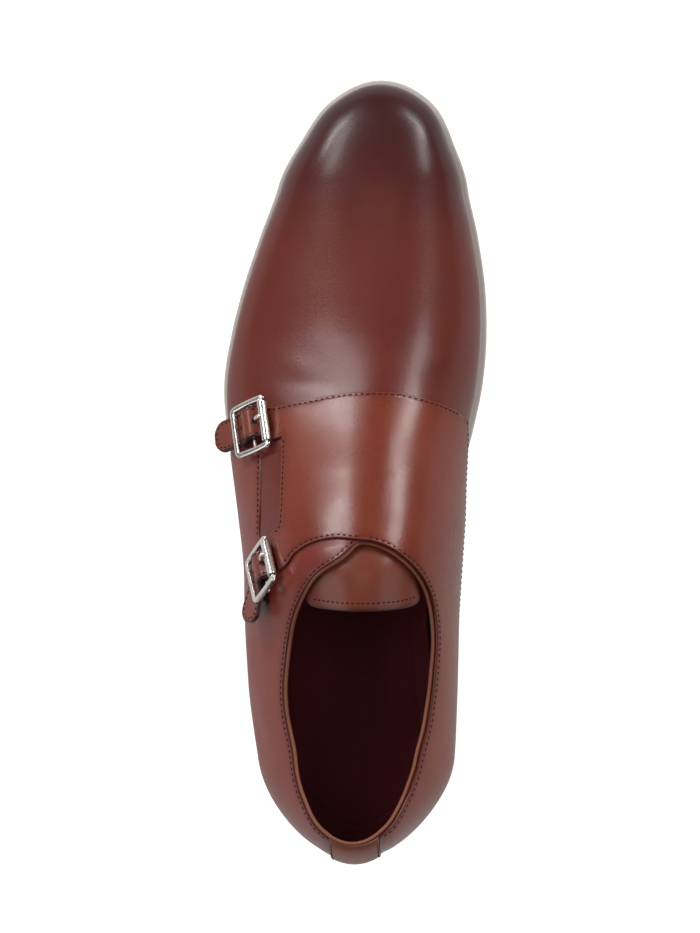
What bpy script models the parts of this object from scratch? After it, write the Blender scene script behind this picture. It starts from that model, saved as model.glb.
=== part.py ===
"""Left shoe with two buckled straps: a hollow leather upper on a rubber unit sole with a low heel.

The work is done in millimetres in the shoe's own frame: x to the outer (lateral) side, the station s
from the back of the heel towards the toe, and z up from the floor. The last step places it in metres
with the toe towards -Y and the origin under the middle of its bounding box.
"""

import math
from collections import namedtuple

import bmesh
import bpy
import numpy as np
from mathutils import Matrix, Vector

MM = 0.001
GAP = 0.3                # clearance between neighbouring pieces
WALL = 2.2               # leather and lining of the upper
PANEL = 1.5              # leather of the strap panel
TONGUE = 2.0
INSOLE = 3.0
MIDSOLE = 6.2            # thickness of the pale welted layer
OUTSOLE = 4.2
STRAP = 1.5              # leather thickness of a strap
STRAP_WIDTH = 12.6
TAB = 0.9                # the leather that holds a buckle, under the strap's end
TAB_WIDTH = 10.0
FRAME_LENGTH = 20.0      # a buckle frame, along its roller
FRAME_ACROSS = 16.8      # a buckle frame, from the roller to the far bar
FRAME_BAR = 2.4
FRAME_THICK = 1.8
ROLLER_RADIUS = 1.8
PIVOT_RADIUS = 0.8
HEEL_BREAST = 76.0       # station of the front face of the heel

# Each row is one upright section plane. Along the foot the planes stand square to the length at a
# station; at the toe and at the heel they turn about the last station. Reaches are measured in the
# plane from the ridge line, outwards: the sole's edge, the fullest line of the upper, how high the
# fullest line runs above it (shoulder, a share of the height) and how flat the top is (crown, mm).
Section = namedtuple(
    "Section",
    "station turn sole_lat sole_med bulge_lat bulge_med bulge_z"
    " shoulder_lat shoulder_med crown_lat crown_med",
)
SECTIONS = [Section(*row) for row in (
    (258, 90, 41.4, 41.4, 39.0, 39.0, 27.0, 0.55, 0.55, 18.0, 18.0),
    (258, 60, 38.8, 38.8, 36.5, 36.5, 27.0, 0.55, 0.55, 18.0, 18.0),
    (258, 30, 35.9, 33.3, 33.6, 31.0, 27.0, 0.55, 0.55, 18.5, 18.5),
    (258, 0, 40.0, 34.0, 37.6, 31.7, 27.0, 0.54, 0.54, 19.5, 19.5),
    (240, 0, 46.8, 37.5, 44.4, 35.1, 26.5, 0.52, 0.52, 22.0, 22.0),
    (220, 0, 54.5, 39.2, 52.1, 36.9, 26.5, 0.50, 0.50, 21.5, 21.5),
    (200, 0, 60.5, 38.8, 58.1, 36.4, 27.5, 0.48, 0.50, 19.5, 19.5),
    (182, 0, 62.4, 38.0, 60.0, 35.6, 30.0, 0.46, 0.50, 18.5, 18.5),
    (165, 0, 59.6, 36.0, 57.8, 34.0, 34.0, 0.46, 0.50, 19.5, 19.5),
    (148, 0, 53.3, 33.0, 53.9, 33.8, 38.0, 0.48, 0.52, 21.0, 21.0),
    (130, 0, 45.6, 29.5, 49.7, 34.8, 41.0, 0.48, 0.53, 22.5, 22.5),
    (112, 0, 39.5, 26.8, 46.0, 35.3, 42.0, 0.44, 0.54, 23.5, 23.5),
    (95, 0, 36.5, 26.8, 43.9, 36.1, 42.0, 0.36, 0.55, 19.0, 25.0),
    (78, 0, 35.4, 28.8, 42.4, 36.4, 42.0, 0.28, 0.54, 14.5, 26.0),
    (60, 0, 35.2, 31.5, 40.3, 36.5, 43.0, 0.28, 0.50, 13.5, 25.0),
    (40, 0, 34.4, 33.4, 37.3, 35.6, 45.0, 0.30, 0.44, 14.5, 20.0),
    (40, -35, 33.6, 33.0, 35.4, 33.6, 46.5, 0.42, 0.46, 18.5, 20.5),
    (40, -65, 34.6, 34.2, 36.6, 35.0, 47.0, 0.52, 0.54, 30.0, 29.0),
    (40, -90, 36.6, 36.6, 39.2, 39.2, 47.0, 0.60, 0.60, 33.5, 33.5),
)]
LAST = len(SECTIONS) - 1
RING = 2 * LAST          # positions round the shoe: 0 toe, LAST heel, RING toe again
TOE_STATION = SECTIONS[0].station
HEEL_STATION = SECTIONS[-1].station

# The ridge of the last. Behind the throat it is only the line that the quarters lean towards.
Ridge = namedtuple("Ridge", "station x z")
RIDGE = [Ridge(*row) for row in (
    (0, -1.7, 104), (20, -1.7, 102), (40, -1.7, 98), (60, -1.7, 96), (78, -2.3, 97),
    (95, -3.0, 101), (112, -4.8, 102.5), (130, -6.5, 94.5), (148, -8.2, 84), (165, -9.8, 73.5),
    (182, -11.3, 64.5), (200, -12, 57.5), (220, -11, 53.5), (240, -10.2, 51), (258, -10, 49),
    (272, -10, 46.8), (286, -10, 43), (300, -10, 38),
)]

# The line where the upper sits on the sole, and how far inside the sole's edge it lies.
Feather = namedtuple("Feather", "station z inset")
FEATHER = [Feather(*row) for row in (
    (0, 27.3, 1.6), (20, 27.2, 1.6), (40, 27, 1.5), (60, 26.3, 1.4), (78, 25.2, 1.2),
    (95, 23.4, 1.0), (112, 20.8, 1.0), (130, 17.4, 1.2), (148, 14, 1.8), (165, 11.7, 2.6),
    (182, 11, 3.1), (208, 11, 3.2), (225, 11.5, 3.2), (240, 12.4, 3.2), (258, 13.8, 3.2),
    (272, 15.4, 3.2), (286, 17.2, 3.2), (300, 19.4, 3.2),
)]

# Outlines seen from above, as (x, s).
Spot = namedtuple("Spot", "x s")
THROAT = [Spot(*row) for row in (
    (-31.4, 88), (-29.8, 100), (-25.6, 109.5), (-18.6, 116.6), (-11.2, 120.6),
    (-4, 121.6), (2.5, 116), (11, 110.4), (16, 104), (20.2, 95), (22.6, 85),
)]
SEAM_FRONT = [Spot(*row) for row in (
    (33.0, 172.6), (28.6, 172.2), (16, 174.6), (6, 176.6), (-5, 177.6), (-19, 177), (-30, 174.2),
    (-39.5, 170.4), (-44.6, 167.6), (-58, 160),
)]
PANEL_REAR = [Spot(*row) for row in (
    (-4, 122.6), (5, 123.2), (13, 121.6), (19.4, 117.8), (22.6, 113.4), (26.4, 111),
)]
PANEL_SIDE = [Spot(*row) for row in (
    (29.4, 124.4), (27.8, 126), (25.8, 128.4), (25.6, 145), (25.7, 159.6), (27, 160.4), (30.6, 159.3),
)]
TONGUE_OUTLINE = [Spot(*row) for row in (
    (-27, 150), (-27, 112), (-28.4, 100.6), (-26, 97.6), (-18, 96.6), (-6, 96), (6, 96.4), (13.6, 97.6),
    (15.6, 100), (18, 112), (20, 150),
)]
# The seam that ends the medial quarter above the vamp's wing, seen from the side, as (s, z).
WING_SEAM = (
    (170, 47), (158, 38), (140, 31), (120, 26.5), (104, 24.4), (95, 24.3), (78, 26), (60, 27),
    (40, 27.7), (-20, 28),
)
HEEL_STRIP = 9.0         # half the width of the plain strip at the back, where the quarters end

# The height of the collar's edge behind the throat, in the section planes.
Collar = namedtuple("Collar", "station turn lateral medial")
COLLAR = [Collar(*row) for row in (
    (72, 0, 75.8, 79.4), (58, 0, 76.2, 80.2), (44, 0, 78.8, 82), (40, -25, 82, 84),
    (40, -50, 85.2, 86.2), (40, -75, 87.4, 87.8), (40, -90, 88, 88),
)]
PANEL_BACK = 1.0         # how far the panel's edge stays behind the lining's edge

# Where each buckle's frame lies: its centre, the way its roller runs and the way the strap leaves.
# The strap's end is a path of (along, across, height) from the frame's centre.
Buckle = namedtuple("Buckle", "name x s z along across strap")
BUCKLES = (
    Buckle("front", 38.4, 164.9, 57.7, (-2.9, -18.3, 6.9), (11.9, -4.9, -8.7), (
        (-1.0, -5.4, -2.5), (-1.0, -4.6, -2.2), (-1.0, -2.6, -0.6), (-1.0, -1.5, 0.8), (-1.1, 0.0, 1.4),
        (-1.1, 1.8, 0.95), (-1.2, 4.8, -1.4), (-1.4, 7.0, -2.1), (-1.7, 9.2, -2.5), (-3.0, 20.8, -3.6),
    )),
    Buckle("rear", 33.4, 111.4, 79.8, (-3.5, -12.9, 10.5), (8.2, -11.4, -11.0), (
        (-0.4, -5.4, -2.2), (-0.4, -4.6, -2.0), (-0.2, -2.6, -0.6), (-0.2, -1.5, 0.8), (0.0, 0.0, 1.4),
        (0.2, 1.8, 0.95), (0.6, 4.8, -1.4), (1.0, 7.0, -2.1), (1.8, 9.2, -2.5), (5.0, 14.6, -2.6),
        (9.4, 19.6, -2.3),
    )),
)
# The path of the leather under the strap's end, as (across, height).
TAB_PATH = ((-0.8, -2.2), (1.5, -2.3), (4.6, -3.1), (7.2, -3.7), (9.0, -4.0))

ALONG_STEPS = 2          # mesh columns between two sections along the foot
TURN_STEPS = 3           # and where the planes turn, at the toe and the heel
UP_STEPS = 4             # mesh rows below the fullest line
OVER_STEPS = 9           # mesh rows above it


# ---- curves ----------------------------------------------------------------------------------

def cubic(before, start, end, after, t):
    """Catmull-Rom between start and end."""
    return 0.5 * (
        2 * start + (end - before) * t
        + (2 * before - 5 * start + 4 * end - after) * t * t
        + (3 * start - before - 3 * end + after) * t ** 3
    )


def table_value(rows, column, station):
    """A smooth value from a table whose rows rise by station."""
    stations = [row.station for row in rows]
    i = int(np.clip(np.searchsorted(stations, station) - 1, 0, len(rows) - 2))
    t = np.clip((station - stations[i]) / (stations[i + 1] - stations[i]), 0, 1)
    at = [getattr(rows[int(np.clip(k, 0, len(rows) - 1))], column) for k in (i - 1, i, i + 1, i + 2)]
    return float(cubic(*at, t))


def ring_value(column, place):
    """A smooth value round the shoe, from the lateral column on one side and the medial on the other."""
    def at(k):
        k %= RING
        row = SECTIONS[k if k <= LAST else RING - k]
        side = "_lat" if k <= LAST else "_med"
        return getattr(row, column + side if column + side in Section._fields else column)
    i = math.floor(place)
    return cubic(at(i - 1), at(i), at(i + 1), at(i + 2), place - i)


def smooth_path(spots, steps, closed=False):
    """Points on a smooth curve through the spots."""
    points = [np.array(spot, float) for spot in spots]
    count = len(points)
    def at(k):
        return points[k % count] if closed else points[min(max(k, 0), count - 1)]
    runs = count if closed else count - 1
    path = [
        cubic(at(i - 1), at(i), at(i + 1), at(i + 2), k / steps)
        for i in range(runs) for k in range(steps)
    ]
    return path if closed else path + [points[-1]]


# ---- the last --------------------------------------------------------------------------------

def places_round(finer=1):
    """The places of the mesh columns, once round the shoe."""
    places = []
    for i in range(LAST):
        steps = finer * (ALONG_STEPS if SECTIONS[i].turn == SECTIONS[i + 1].turn else TURN_STEPS)
        places += [i + k / steps for k in range(steps)]
    return places + [LAST] + [RING - place for place in reversed(places[1:])]


def plane_at(place):
    """The foot (x, s) and the outward direction of the section plane at a place round the shoe."""
    place %= RING
    side = 1 if place <= LAST else -1
    row = place if place <= LAST else RING - place
    i = min(int(row), LAST - 1)
    t = row - i
    station = SECTIONS[i].station * (1 - t) + SECTIONS[i + 1].station * t
    turn = math.radians(SECTIONS[i].turn * (1 - t) + SECTIONS[i + 1].turn * t)
    foot = np.array((table_value(RIDGE, "x", station), station))
    return foot, np.array((side * math.cos(turn), math.sin(turn)))


def sole_point(place, inset=0.0):
    """A point (x, s) of the sole's edge, or inside it."""
    foot, out = plane_at(place)
    return foot + out * (ring_value("sole", place) - inset)


def feather_inset(place):
    return table_value(FEATHER, "inset", sole_point(place)[1])


def feather_z(station):
    return table_value(FEATHER, "z", station)


def skin(place, rise):
    """A point (x, s, z) of the last: rise 0 is the feather line, 1 the fullest line, 2 the ridge."""
    foot, out = plane_at(place)
    bulge, bulge_z = ring_value("bulge", place), ring_value("bulge_z", place)
    if rise < 1:
        feather = sole_point(place, feather_inset(place))
        low = feather_z(feather[1])
        shares = ((1 - rise) ** 2, 2 * rise * (1 - rise), rise * rise)
        reaches = (float(np.dot(feather - foot, out)), bulge, bulge)
        heights = (low, low + 0.4 * (bulge_z - low), bulge_z)
    else:
        t = rise - 1
        shares = ((1 - t) ** 3, 3 * t * (1 - t) ** 2, 3 * t * t * (1 - t), t ** 3)
        shoulder, crown = ring_value("shoulder", place), ring_value("crown", place)
        top = table_value(RIDGE, "z", foot[1])
        crown_z = table_value(RIDGE, "z", foot[1] + out[1] * crown)
        reaches = (bulge, bulge, crown, 0.0)
        heights = (bulge_z, bulge_z + shoulder * (top - bulge_z), crown_z, top)
    reach = sum(share * value for share, value in zip(shares, reaches))
    z = sum(share * value for share, value in zip(shares, heights))
    return np.array((*(foot + out * reach), z))


def skin_normal(place, rise, step=0.02):
    along = skin(place + step, rise) - skin(place - step, rise)
    up = skin(place, min(rise + step, 2)) - skin(place, rise - step)
    normal = np.cross(along, up)
    normal /= np.linalg.norm(normal)
    return normal if normal[2] > 0 else -normal


def place_towards(station, turn, lateral=True):
    """The place whose plane stands at a station, or is turned by some degrees at the heel."""
    keys = [-row.station - row.turn for row in SECTIONS]
    place = float(np.interp(-station - turn, keys, range(LAST + 1)))
    return place if lateral else RING - place


def rise_where(place, measure):
    """The rise above the fullest line at which a growing measure of the skin passes zero."""
    low, high = 1.0, 2.0
    for _ in range(30):
        middle = (low + high) / 2
        if measure(skin(place, middle)) < 0:
            low = middle
        else:
            high = middle
    return low


def topline():
    """Where the collar's edge runs on the last, as (place, rise) once round the opening."""
    edge = []
    for spot in THROAT:
        ridge_x = table_value(RIDGE, "x", spot.s)
        place = place_towards(spot.s, 0, spot.x > ridge_x)
        half = abs(spot.x - ridge_x)
        edge.append((place, rise_where(place, lambda point: half - abs(point[0] - ridge_x))))
    for side in ("lateral", "medial"):
        rows = COLLAR if side == "lateral" else COLLAR[-2::-1]
        for row in rows:
            place = place_towards(row.station, row.turn, side == "lateral")
            edge.append((place, rise_where(place, lambda point: point[2] - getattr(row, side))))
    return edge


# ---- meshes ----------------------------------------------------------------------------------

def world(point):
    x, s, z = point
    return Vector((x, -s, z)) * MM


def material(name, color, roughness, metallic=0.0):
    mat = bpy.data.materials.new(name)
    mat.use_nodes = True
    shader = mat.node_tree.nodes["Principled BSDF"]
    shader.inputs["Base Color"].default_value = (*color, 1)
    shader.inputs["Roughness"].default_value = roughness
    shader.inputs["Metallic"].default_value = metallic
    return mat


def add_object(name, bm, mat=None, guide=False):
    """An object from a bmesh; a guide only serves the Booleans."""
    bmesh.ops.recalc_face_normals(bm, faces=bm.faces[:])
    mesh = bpy.data.meshes.new(name)
    bm.to_mesh(mesh)
    bm.free()
    mesh.shade_smooth()
    mesh.set_sharp_from_angle(angle=math.radians(40))
    if mat:
        mesh.materials.append(mat)
    obj = bpy.data.objects.new(name, mesh)
    bpy.context.scene.collection.objects.link(obj)
    if guide:
        obj.hide_render = True
        obj.display_type = "WIRE"
    return obj


def boolean(obj, other, operation):
    modifier = obj.modifiers.new(operation.title() + " " + other.name, "BOOLEAN")
    modifier.operation = operation
    modifier.object = other
    modifier.solver = "EXACT"


def bridge(bm, first, second):
    """Quads between two closed rings, or between two rows, of equal length."""
    for a, b, c, d in zip(first, first[1:], second[1:], second):
        corners = []
        for vertex in (a, b, c, d):
            if vertex not in corners:
                corners.append(vertex)
        if len(corners) > 2:
            bm.faces.new(corners)


def close_across(bm, ring):
    """Strips across a ring of sections, each from its lateral to its medial point."""
    half = len(ring) // 2
    lateral = ring[:half + 1]
    medial = [ring[0]] + ring[:half - 1:-1]
    bridge(bm, lateral, medial)


def form_mesh(lift, drop=0.0):
    """The closed form of the last, lifted along its normals, its foot drawn down by drop."""
    bm = bmesh.new()
    rises = [k / UP_STEPS for k in range(UP_STEPS)] + [1 + k / OVER_STEPS for k in range(OVER_STEPS + 1)]
    columns = [
        [bm.verts.new(world(skin(place, rise))) for rise in rises] for place in places_round()
    ]
    for first, second in zip(columns, columns[1:] + columns[:1]):
        bridge(bm, first, second)
    bmesh.ops.remove_doubles(bm, verts=bm.verts[:], dist=1e-5)
    bmesh.ops.recalc_face_normals(bm, faces=bm.faces[:])
    bm.normal_update()
    moved = [(vertex, vertex.co + vertex.normal * lift * MM) for vertex in bm.verts]
    for vertex, place in moved:
        vertex.co = place
    ring = [column[0] for column in columns]
    if drop:
        low = [bm.verts.new(v.co - Vector((0, 0, drop * MM))) for v in ring]
        bridge(bm, ring + ring[:1], low + low[:1])
        ring = low
    close_across(bm, ring)
    return bm


def prism(name, outline, axis="z", low=-20.0, high=160.0):
    """A guide: an outline of (x, s), or of (s, z) with axis x, drawn through the whole shoe."""
    bm = bmesh.new()
    def at(pair, depth):
        return (*pair, depth) if axis == "z" else (depth, *pair)
    ends = [[bm.verts.new(world(at(pair, depth))) for pair in outline] for depth in (low, high)]
    for end in ends:
        bm.faces.new(end)
    bridge(bm, ends[0] + ends[0][:1], ends[1] + ends[1][:1])
    return add_object(name, bm, guide=True)


def slab(name, mat, places, inset_top, inset_low, top, low, whole=True):
    """A solid between two outlines inside the sole's edge, with heights given by station."""
    bm = bmesh.new()
    rings = []
    for inset, height in ((inset_top, top), (inset_low, low)):
        edge = [sole_point(place, inset(place)) for place in places]
        rings.append([bm.verts.new(world((*spot, height(spot[1])))) for spot in edge])
    bridge(bm, rings[0] + rings[0][:1], rings[1] + rings[1][:1])
    for ring in rings:
        half = len(ring) // 2
        if whole:
            close_across(bm, ring)
        else:
            bridge(bm, ring[:half + 1], ring[:half - 1:-1])
    return add_object(name, bm, mat)


def ribbon(name, mat, frame, path, width, thickness, tip):
    """A strap along a path of (along, across, height) in a buckle's frame, with a round tip at its end."""
    origin, *axes = frame
    points = smooth_path(path, 3)
    runs = [np.linalg.norm(b - a) for a, b in zip(points, points[1:])]
    lengths = np.concatenate([[0], np.cumsum(runs)])
    line = np.array(points)
    def at(distance):
        return np.array([np.interp(distance, lengths, line[:, k]) for k in range(3)])
    end = lengths[-1]
    samples = [d for d in lengths if d < end - tip]
    samples += [end - tip * (1 - math.sin(a)) for a in np.linspace(0, math.radians(80), 6)]
    rings = []
    bm = bmesh.new()
    for d in samples:
        tangent = at(min(d + 0.4, end)) - at(max(d - 0.4, 0))
        tangent /= np.linalg.norm(tangent)
        side = np.array((1.0, 0.0, 0.0)) - tangent * tangent[0]
        side /= np.linalg.norm(side)
        up = np.cross(side, tangent)
        into = max(0.0, (d - (end - tip)) / tip)
        half = width / 2 * math.sqrt(max(0.0, 1 - into * into))
        ring = []
        for across, over in ((-1, -1), (1, -1), (1, 1), (-1, 1)):
            local = at(d) + side * half * across + up * thickness / 2 * over
            ring.append(bm.verts.new(world(origin + sum(axis * value for axis, value in zip(axes, local)))))
        rings.append(ring)
    for first, second in zip(rings, rings[1:]):
        bridge(bm, first + first[:1], second + second[:1])
    bm.faces.new(rings[0])
    bm.faces.new(rings[-1])
    return add_object(name, bm, mat)


# ---- pieces ----------------------------------------------------------------------------------

def build_sole(rubber, pale, leather):
    """Outsole, midsole, heel and insole, each following the feather line."""
    places = places_round(finer=2)
    def under(depth):
        return lambda station: max(0.0, feather_z(station) - depth)
    slab("midsole", pale, places, lambda q: 0.0, lambda q: 0.5, under(GAP), under(GAP + MIDSOLE))
    tread = 2 * GAP + MIDSOLE + OUTSOLE
    slab("outsole", rubber, places, lambda q: 0.9, lambda q: 1.6, under(tread - OUTSOLE), under(tread))
    first, last = (place_towards(HEEL_BREAST, 0, lateral) for lateral in (True, False))
    heel = list(np.linspace(first, last, 33))
    slab(
        "heel", rubber, heel, lambda q: 1.0, lambda q: 2.6,
        under(tread + GAP), lambda station: 0.0, whole=False,
    )
    def inside(q):
        return feather_inset(q) + WALL + 2 * GAP
    slab(
        "insole", leather, places, inside, inside,
        lambda station: feather_z(station) + GAP + INSOLE, lambda station: feather_z(station) + GAP,
    )


def collar_guide(name, spread=0.0):
    """A guide through the collar's edge, square to the wall, or spread some way outside the edge."""
    edge = topline()
    normals = smooth_path([skin_normal(*spot) for spot in edge], 3, closed=True)
    points = smooth_path([skin(*spot) for spot in edge], 3, closed=True)
    count = len(points)
    rings = ([], [])
    for k, (point, normal) in enumerate(zip(points, normals)):
        tangent = points[(k + 1) % count] - points[k - 1]
        away = np.cross(normal, tangent / np.linalg.norm(tangent))
        for ring, height in zip(rings, (-6.0, 45.0)):
            ring.append(point + away * spread + normal * height)
    bm = bmesh.new()
    rings = [[bm.verts.new(world(point)) for point in ring] for ring in rings]
    bridge(bm, rings[0] + rings[0][:1], rings[1] + rings[1][:1])
    for ring, centre in zip(rings, ((-4, 70, 60), (-4, 70, 150))):
        middle = bm.verts.new(world(centre))
        for first, second in zip(ring, ring[1:] + ring[:1]):
            bm.faces.new((first, second, middle))
    return add_object(name, bm, guide=True)


def build_upper(leather):
    """One hollow wall, open at the collar and underneath."""
    upper = add_object("upper", form_mesh(0.0), leather)
    inside = add_object("guide_inside", form_mesh(-WALL, drop=12), guide=True)
    boolean(upper, inside, "DIFFERENCE")
    boolean(upper, collar_guide("guide_collar"), "DIFFERENCE")


def build_panel(leather):
    """The medial quarter and the saddle over the instep, whose two straps run to the buckles."""
    panel = add_object("strap_panel", form_mesh(GAP + PANEL), leather)
    under = add_object("guide_under_panel", form_mesh(GAP, drop=12), guide=True)
    back = -HEEL_STRIP - 1.7
    outline = smooth_path(SEAM_FRONT, 3)
    outline += [(-60, 150), (-60, -10), (back, -10), (back, 90)]
    outline += smooth_path(PANEL_REAR, 3)
    outline += smooth_path(PANEL_SIDE[:4], 2) + smooth_path(PANEL_SIDE[4:], 2)
    side = list(WING_SEAM) + [(-20, 150), (190, 150), (190, 47)]
    boolean(panel, under, "DIFFERENCE")
    boolean(panel, prism("guide_panel_outline", outline, low=5), "INTERSECT")
    boolean(panel, prism("guide_wing_seam", side, axis="x", low=-80, high=80), "INTERSECT")
    boolean(panel, collar_guide("guide_panel_collar", PANEL_BACK), "DIFFERENCE")


def build_tongue(leather):
    """The tongue under the throat, a second wall inside the first."""
    lift = -WALL - 1.5 * GAP
    tongue = add_object("tongue", form_mesh(lift), leather)
    under = add_object("guide_under_tongue", form_mesh(lift - TONGUE, drop=12), guide=True)
    boolean(tongue, under, "DIFFERENCE")
    boolean(tongue, prism("guide_tongue_outline", TONGUE_OUTLINE, low=60), "INTERSECT")


def buckle_frame(buckle):
    """Origin and the three unit axes of a buckle: along its roller, across to the far bar, and up."""
    along = np.array(buckle.along, float)
    along /= np.linalg.norm(along)
    across = np.array(buckle.across, float)
    across -= along * np.dot(along, across)
    across /= np.linalg.norm(across)
    normal = np.cross(along, across)
    normal *= np.sign(normal[2])
    return np.array((buckle.x, buckle.s, buckle.z)), along, across, normal


def rod(name, frame, across, height, radius, half, mat=None, segments=16, bore=0.0):
    """A round bar or tube along a buckle's roller."""
    origin, along, side, normal = frame
    bm = bmesh.new()
    rings = []
    radii = (radius, radius, bore, bore) if bore else (radius, radius)
    ends = (-half, half, half, -half) if bore else (-half, half)
    for r, end in zip(radii, ends):
        ring = []
        for k in range(segments):
            angle = 2 * math.pi * k / segments
            flat = across + r * math.cos(angle), height + r * math.sin(angle)
            ring.append(bm.verts.new(world(origin + along * end + side * flat[0] + normal * flat[1])))
        rings.append(ring)
    pairs = list(zip(rings, rings[1:])) + ([(rings[-1], rings[0])] if bore else [])
    for first, second in pairs:
        bridge(bm, first + first[:1], second + second[:1])
    if not bore:
        bm.faces.new(rings[0])
        bm.faces.new(rings[1])
    return add_object(name, bm, mat, guide=mat is None)


def rounded_box(half_along, half_across, radius, shift=0.0):
    """The outline of a rounded rectangle as (along, across)."""
    outline = []
    for k, (a, b) in enumerate(((1, 1), (-1, 1), (-1, -1), (1, -1))):
        for j in range(4):
            angle = math.radians(90 * k + 30 * j)
            outline.append((
                a * (half_along - radius) + radius * math.cos(angle),
                b * (half_across - radius) + radius * math.sin(angle) + shift,
            ))
    return outline


def plate(name, frame, outline, thickness, mat=None):
    """A flat plate in a buckle's plane."""
    origin, along, across, normal = frame
    bm = bmesh.new()
    sides = [
        [bm.verts.new(world(origin + along * a + across * b + normal * h)) for a, b in outline]
        for h in (-thickness / 2, thickness / 2)
    ]
    for side in sides:
        bm.faces.new(side)
    bridge(bm, sides[0] + sides[0][:1], sides[1] + sides[1][:1])
    return add_object(name, bm, mat, guide=mat is None)


def build_buckle(buckle, metal, leather):
    """Frame with a middle bar, roller, prong, and the strap's end that passes through them."""
    frame = buckle_frame(buckle)
    name = buckle.name
    half_along, half_across = FRAME_LENGTH / 2, FRAME_ACROSS / 2
    roller_at = -half_across + ROLLER_RADIUS
    outline = rounded_box(half_along, half_across, 2.6)
    body = plate("buckle_frame_" + name, frame, outline, FRAME_THICK, metal)
    window_low, window_high = -half_across - 2, half_across - FRAME_BAR
    window = rounded_box(
        half_along - FRAME_BAR, (window_high - window_low) / 2, 1.2, (window_high + window_low) / 2
    )
    hole = plate("guide_window_" + name, frame, window, 3 * FRAME_THICK)
    boolean(body, hole, "DIFFERENCE")
    reach = half_along - FRAME_BAR / 2
    for spot, across, height in (("roller", roller_at, 0.0), ("middle", 0.0, -0.6)):
        bar = rod(f"guide_{spot}_bar_{name}", frame, across, height, PIVOT_RADIUS, reach, segments=8)
        boolean(body, bar, "UNION")
    rod(
        "buckle_roller_" + name, frame, roller_at, 0.0, ROLLER_RADIUS,
        half_along - FRAME_BAR - GAP, metal, bore=PIVOT_RADIUS + GAP,
    )
    ribbon("strap_end_" + name, leather, frame, buckle.strap, STRAP_WIDTH, STRAP, STRAP_WIDTH / 2 - 0.8)
    slide = buckle.strap[0][0]
    prong = [
        (slide, roller_at + across, height)
        for across, height in ((3.0, 1.0), (2.0, 2.1), (0.8, 2.6), (-0.6, 2.6))
    ]
    ribbon("buckle_prong_" + name, metal, frame, prong, 1.7, 1.0, 0.8)
    tab = [(slide, across, height) for across, height in TAB_PATH]
    ribbon("buckle_tab_" + name, leather, frame, tab, TAB_WIDTH, TAB, 2.0)


def settle():
    """Moves everything so that the origin lies under the middle of the box round the shoe."""
    graph = bpy.context.evaluated_depsgraph_get()
    shown = [obj for obj in bpy.data.objects if not obj.hide_render]
    corners = [Vector(corner) for obj in shown for corner in obj.evaluated_get(graph).bound_box]
    low = Vector([min(corner[k] for corner in corners) for k in range(3)])
    high = Vector([max(corner[k] for corner in corners) for k in range(3)])
    shift = Matrix.Translation((-(low.x + high.x) / 2, -(low.y + high.y) / 2, -low.z))
    for obj in bpy.data.objects:
        obj.data.transform(shift)


def main():
    for obj in list(bpy.data.objects):
        bpy.data.objects.remove(obj, do_unlink=True)
    brown = material("brown_leather", (0.17, 0.045, 0.03), 0.35)
    cognac = material("cognac_leather", (0.23, 0.07, 0.04), 0.35)
    sock = material("sock_leather", (0.02, 0.005, 0.006), 0.6)
    pale = material("pale_rubber", (0.42, 0.37, 0.33), 0.6)
    rubber = material("outsole_rubber", (0.30, 0.26, 0.23), 0.7)
    metal = material("polished_nickel", (0.72, 0.71, 0.69), 0.2, 1.0)
    build_sole(rubber, pale, sock)
    build_upper(brown)
    build_panel(cognac)
    build_tongue(cognac)
    for buckle in BUCKLES:
        build_buckle(buckle, metal, cognac)
    settle()


main()
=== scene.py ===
# Left double monk strap shoe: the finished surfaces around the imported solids.
import math
from collections import namedtuple

import bmesh
import bpy
import numpy as np
from mathutils import Matrix, Vector
from mathutils.geometry import delaunay_2d_cdt


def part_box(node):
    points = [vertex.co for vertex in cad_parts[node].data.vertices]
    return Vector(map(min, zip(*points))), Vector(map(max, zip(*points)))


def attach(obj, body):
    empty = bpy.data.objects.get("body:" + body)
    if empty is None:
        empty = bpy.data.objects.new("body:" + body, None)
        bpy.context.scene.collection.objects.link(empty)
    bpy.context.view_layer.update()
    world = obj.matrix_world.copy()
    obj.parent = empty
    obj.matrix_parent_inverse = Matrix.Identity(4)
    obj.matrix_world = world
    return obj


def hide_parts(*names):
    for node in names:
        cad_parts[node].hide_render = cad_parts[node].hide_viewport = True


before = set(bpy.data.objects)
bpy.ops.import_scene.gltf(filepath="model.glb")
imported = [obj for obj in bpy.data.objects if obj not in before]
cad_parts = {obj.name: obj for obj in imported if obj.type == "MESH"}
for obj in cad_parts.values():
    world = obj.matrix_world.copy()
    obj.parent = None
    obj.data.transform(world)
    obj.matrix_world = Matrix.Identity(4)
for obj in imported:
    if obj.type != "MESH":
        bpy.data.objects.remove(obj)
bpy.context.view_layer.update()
scene = bpy.context.scene
mm = 0.001

# The last: one row for each upright section plane, as in the solids

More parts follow.
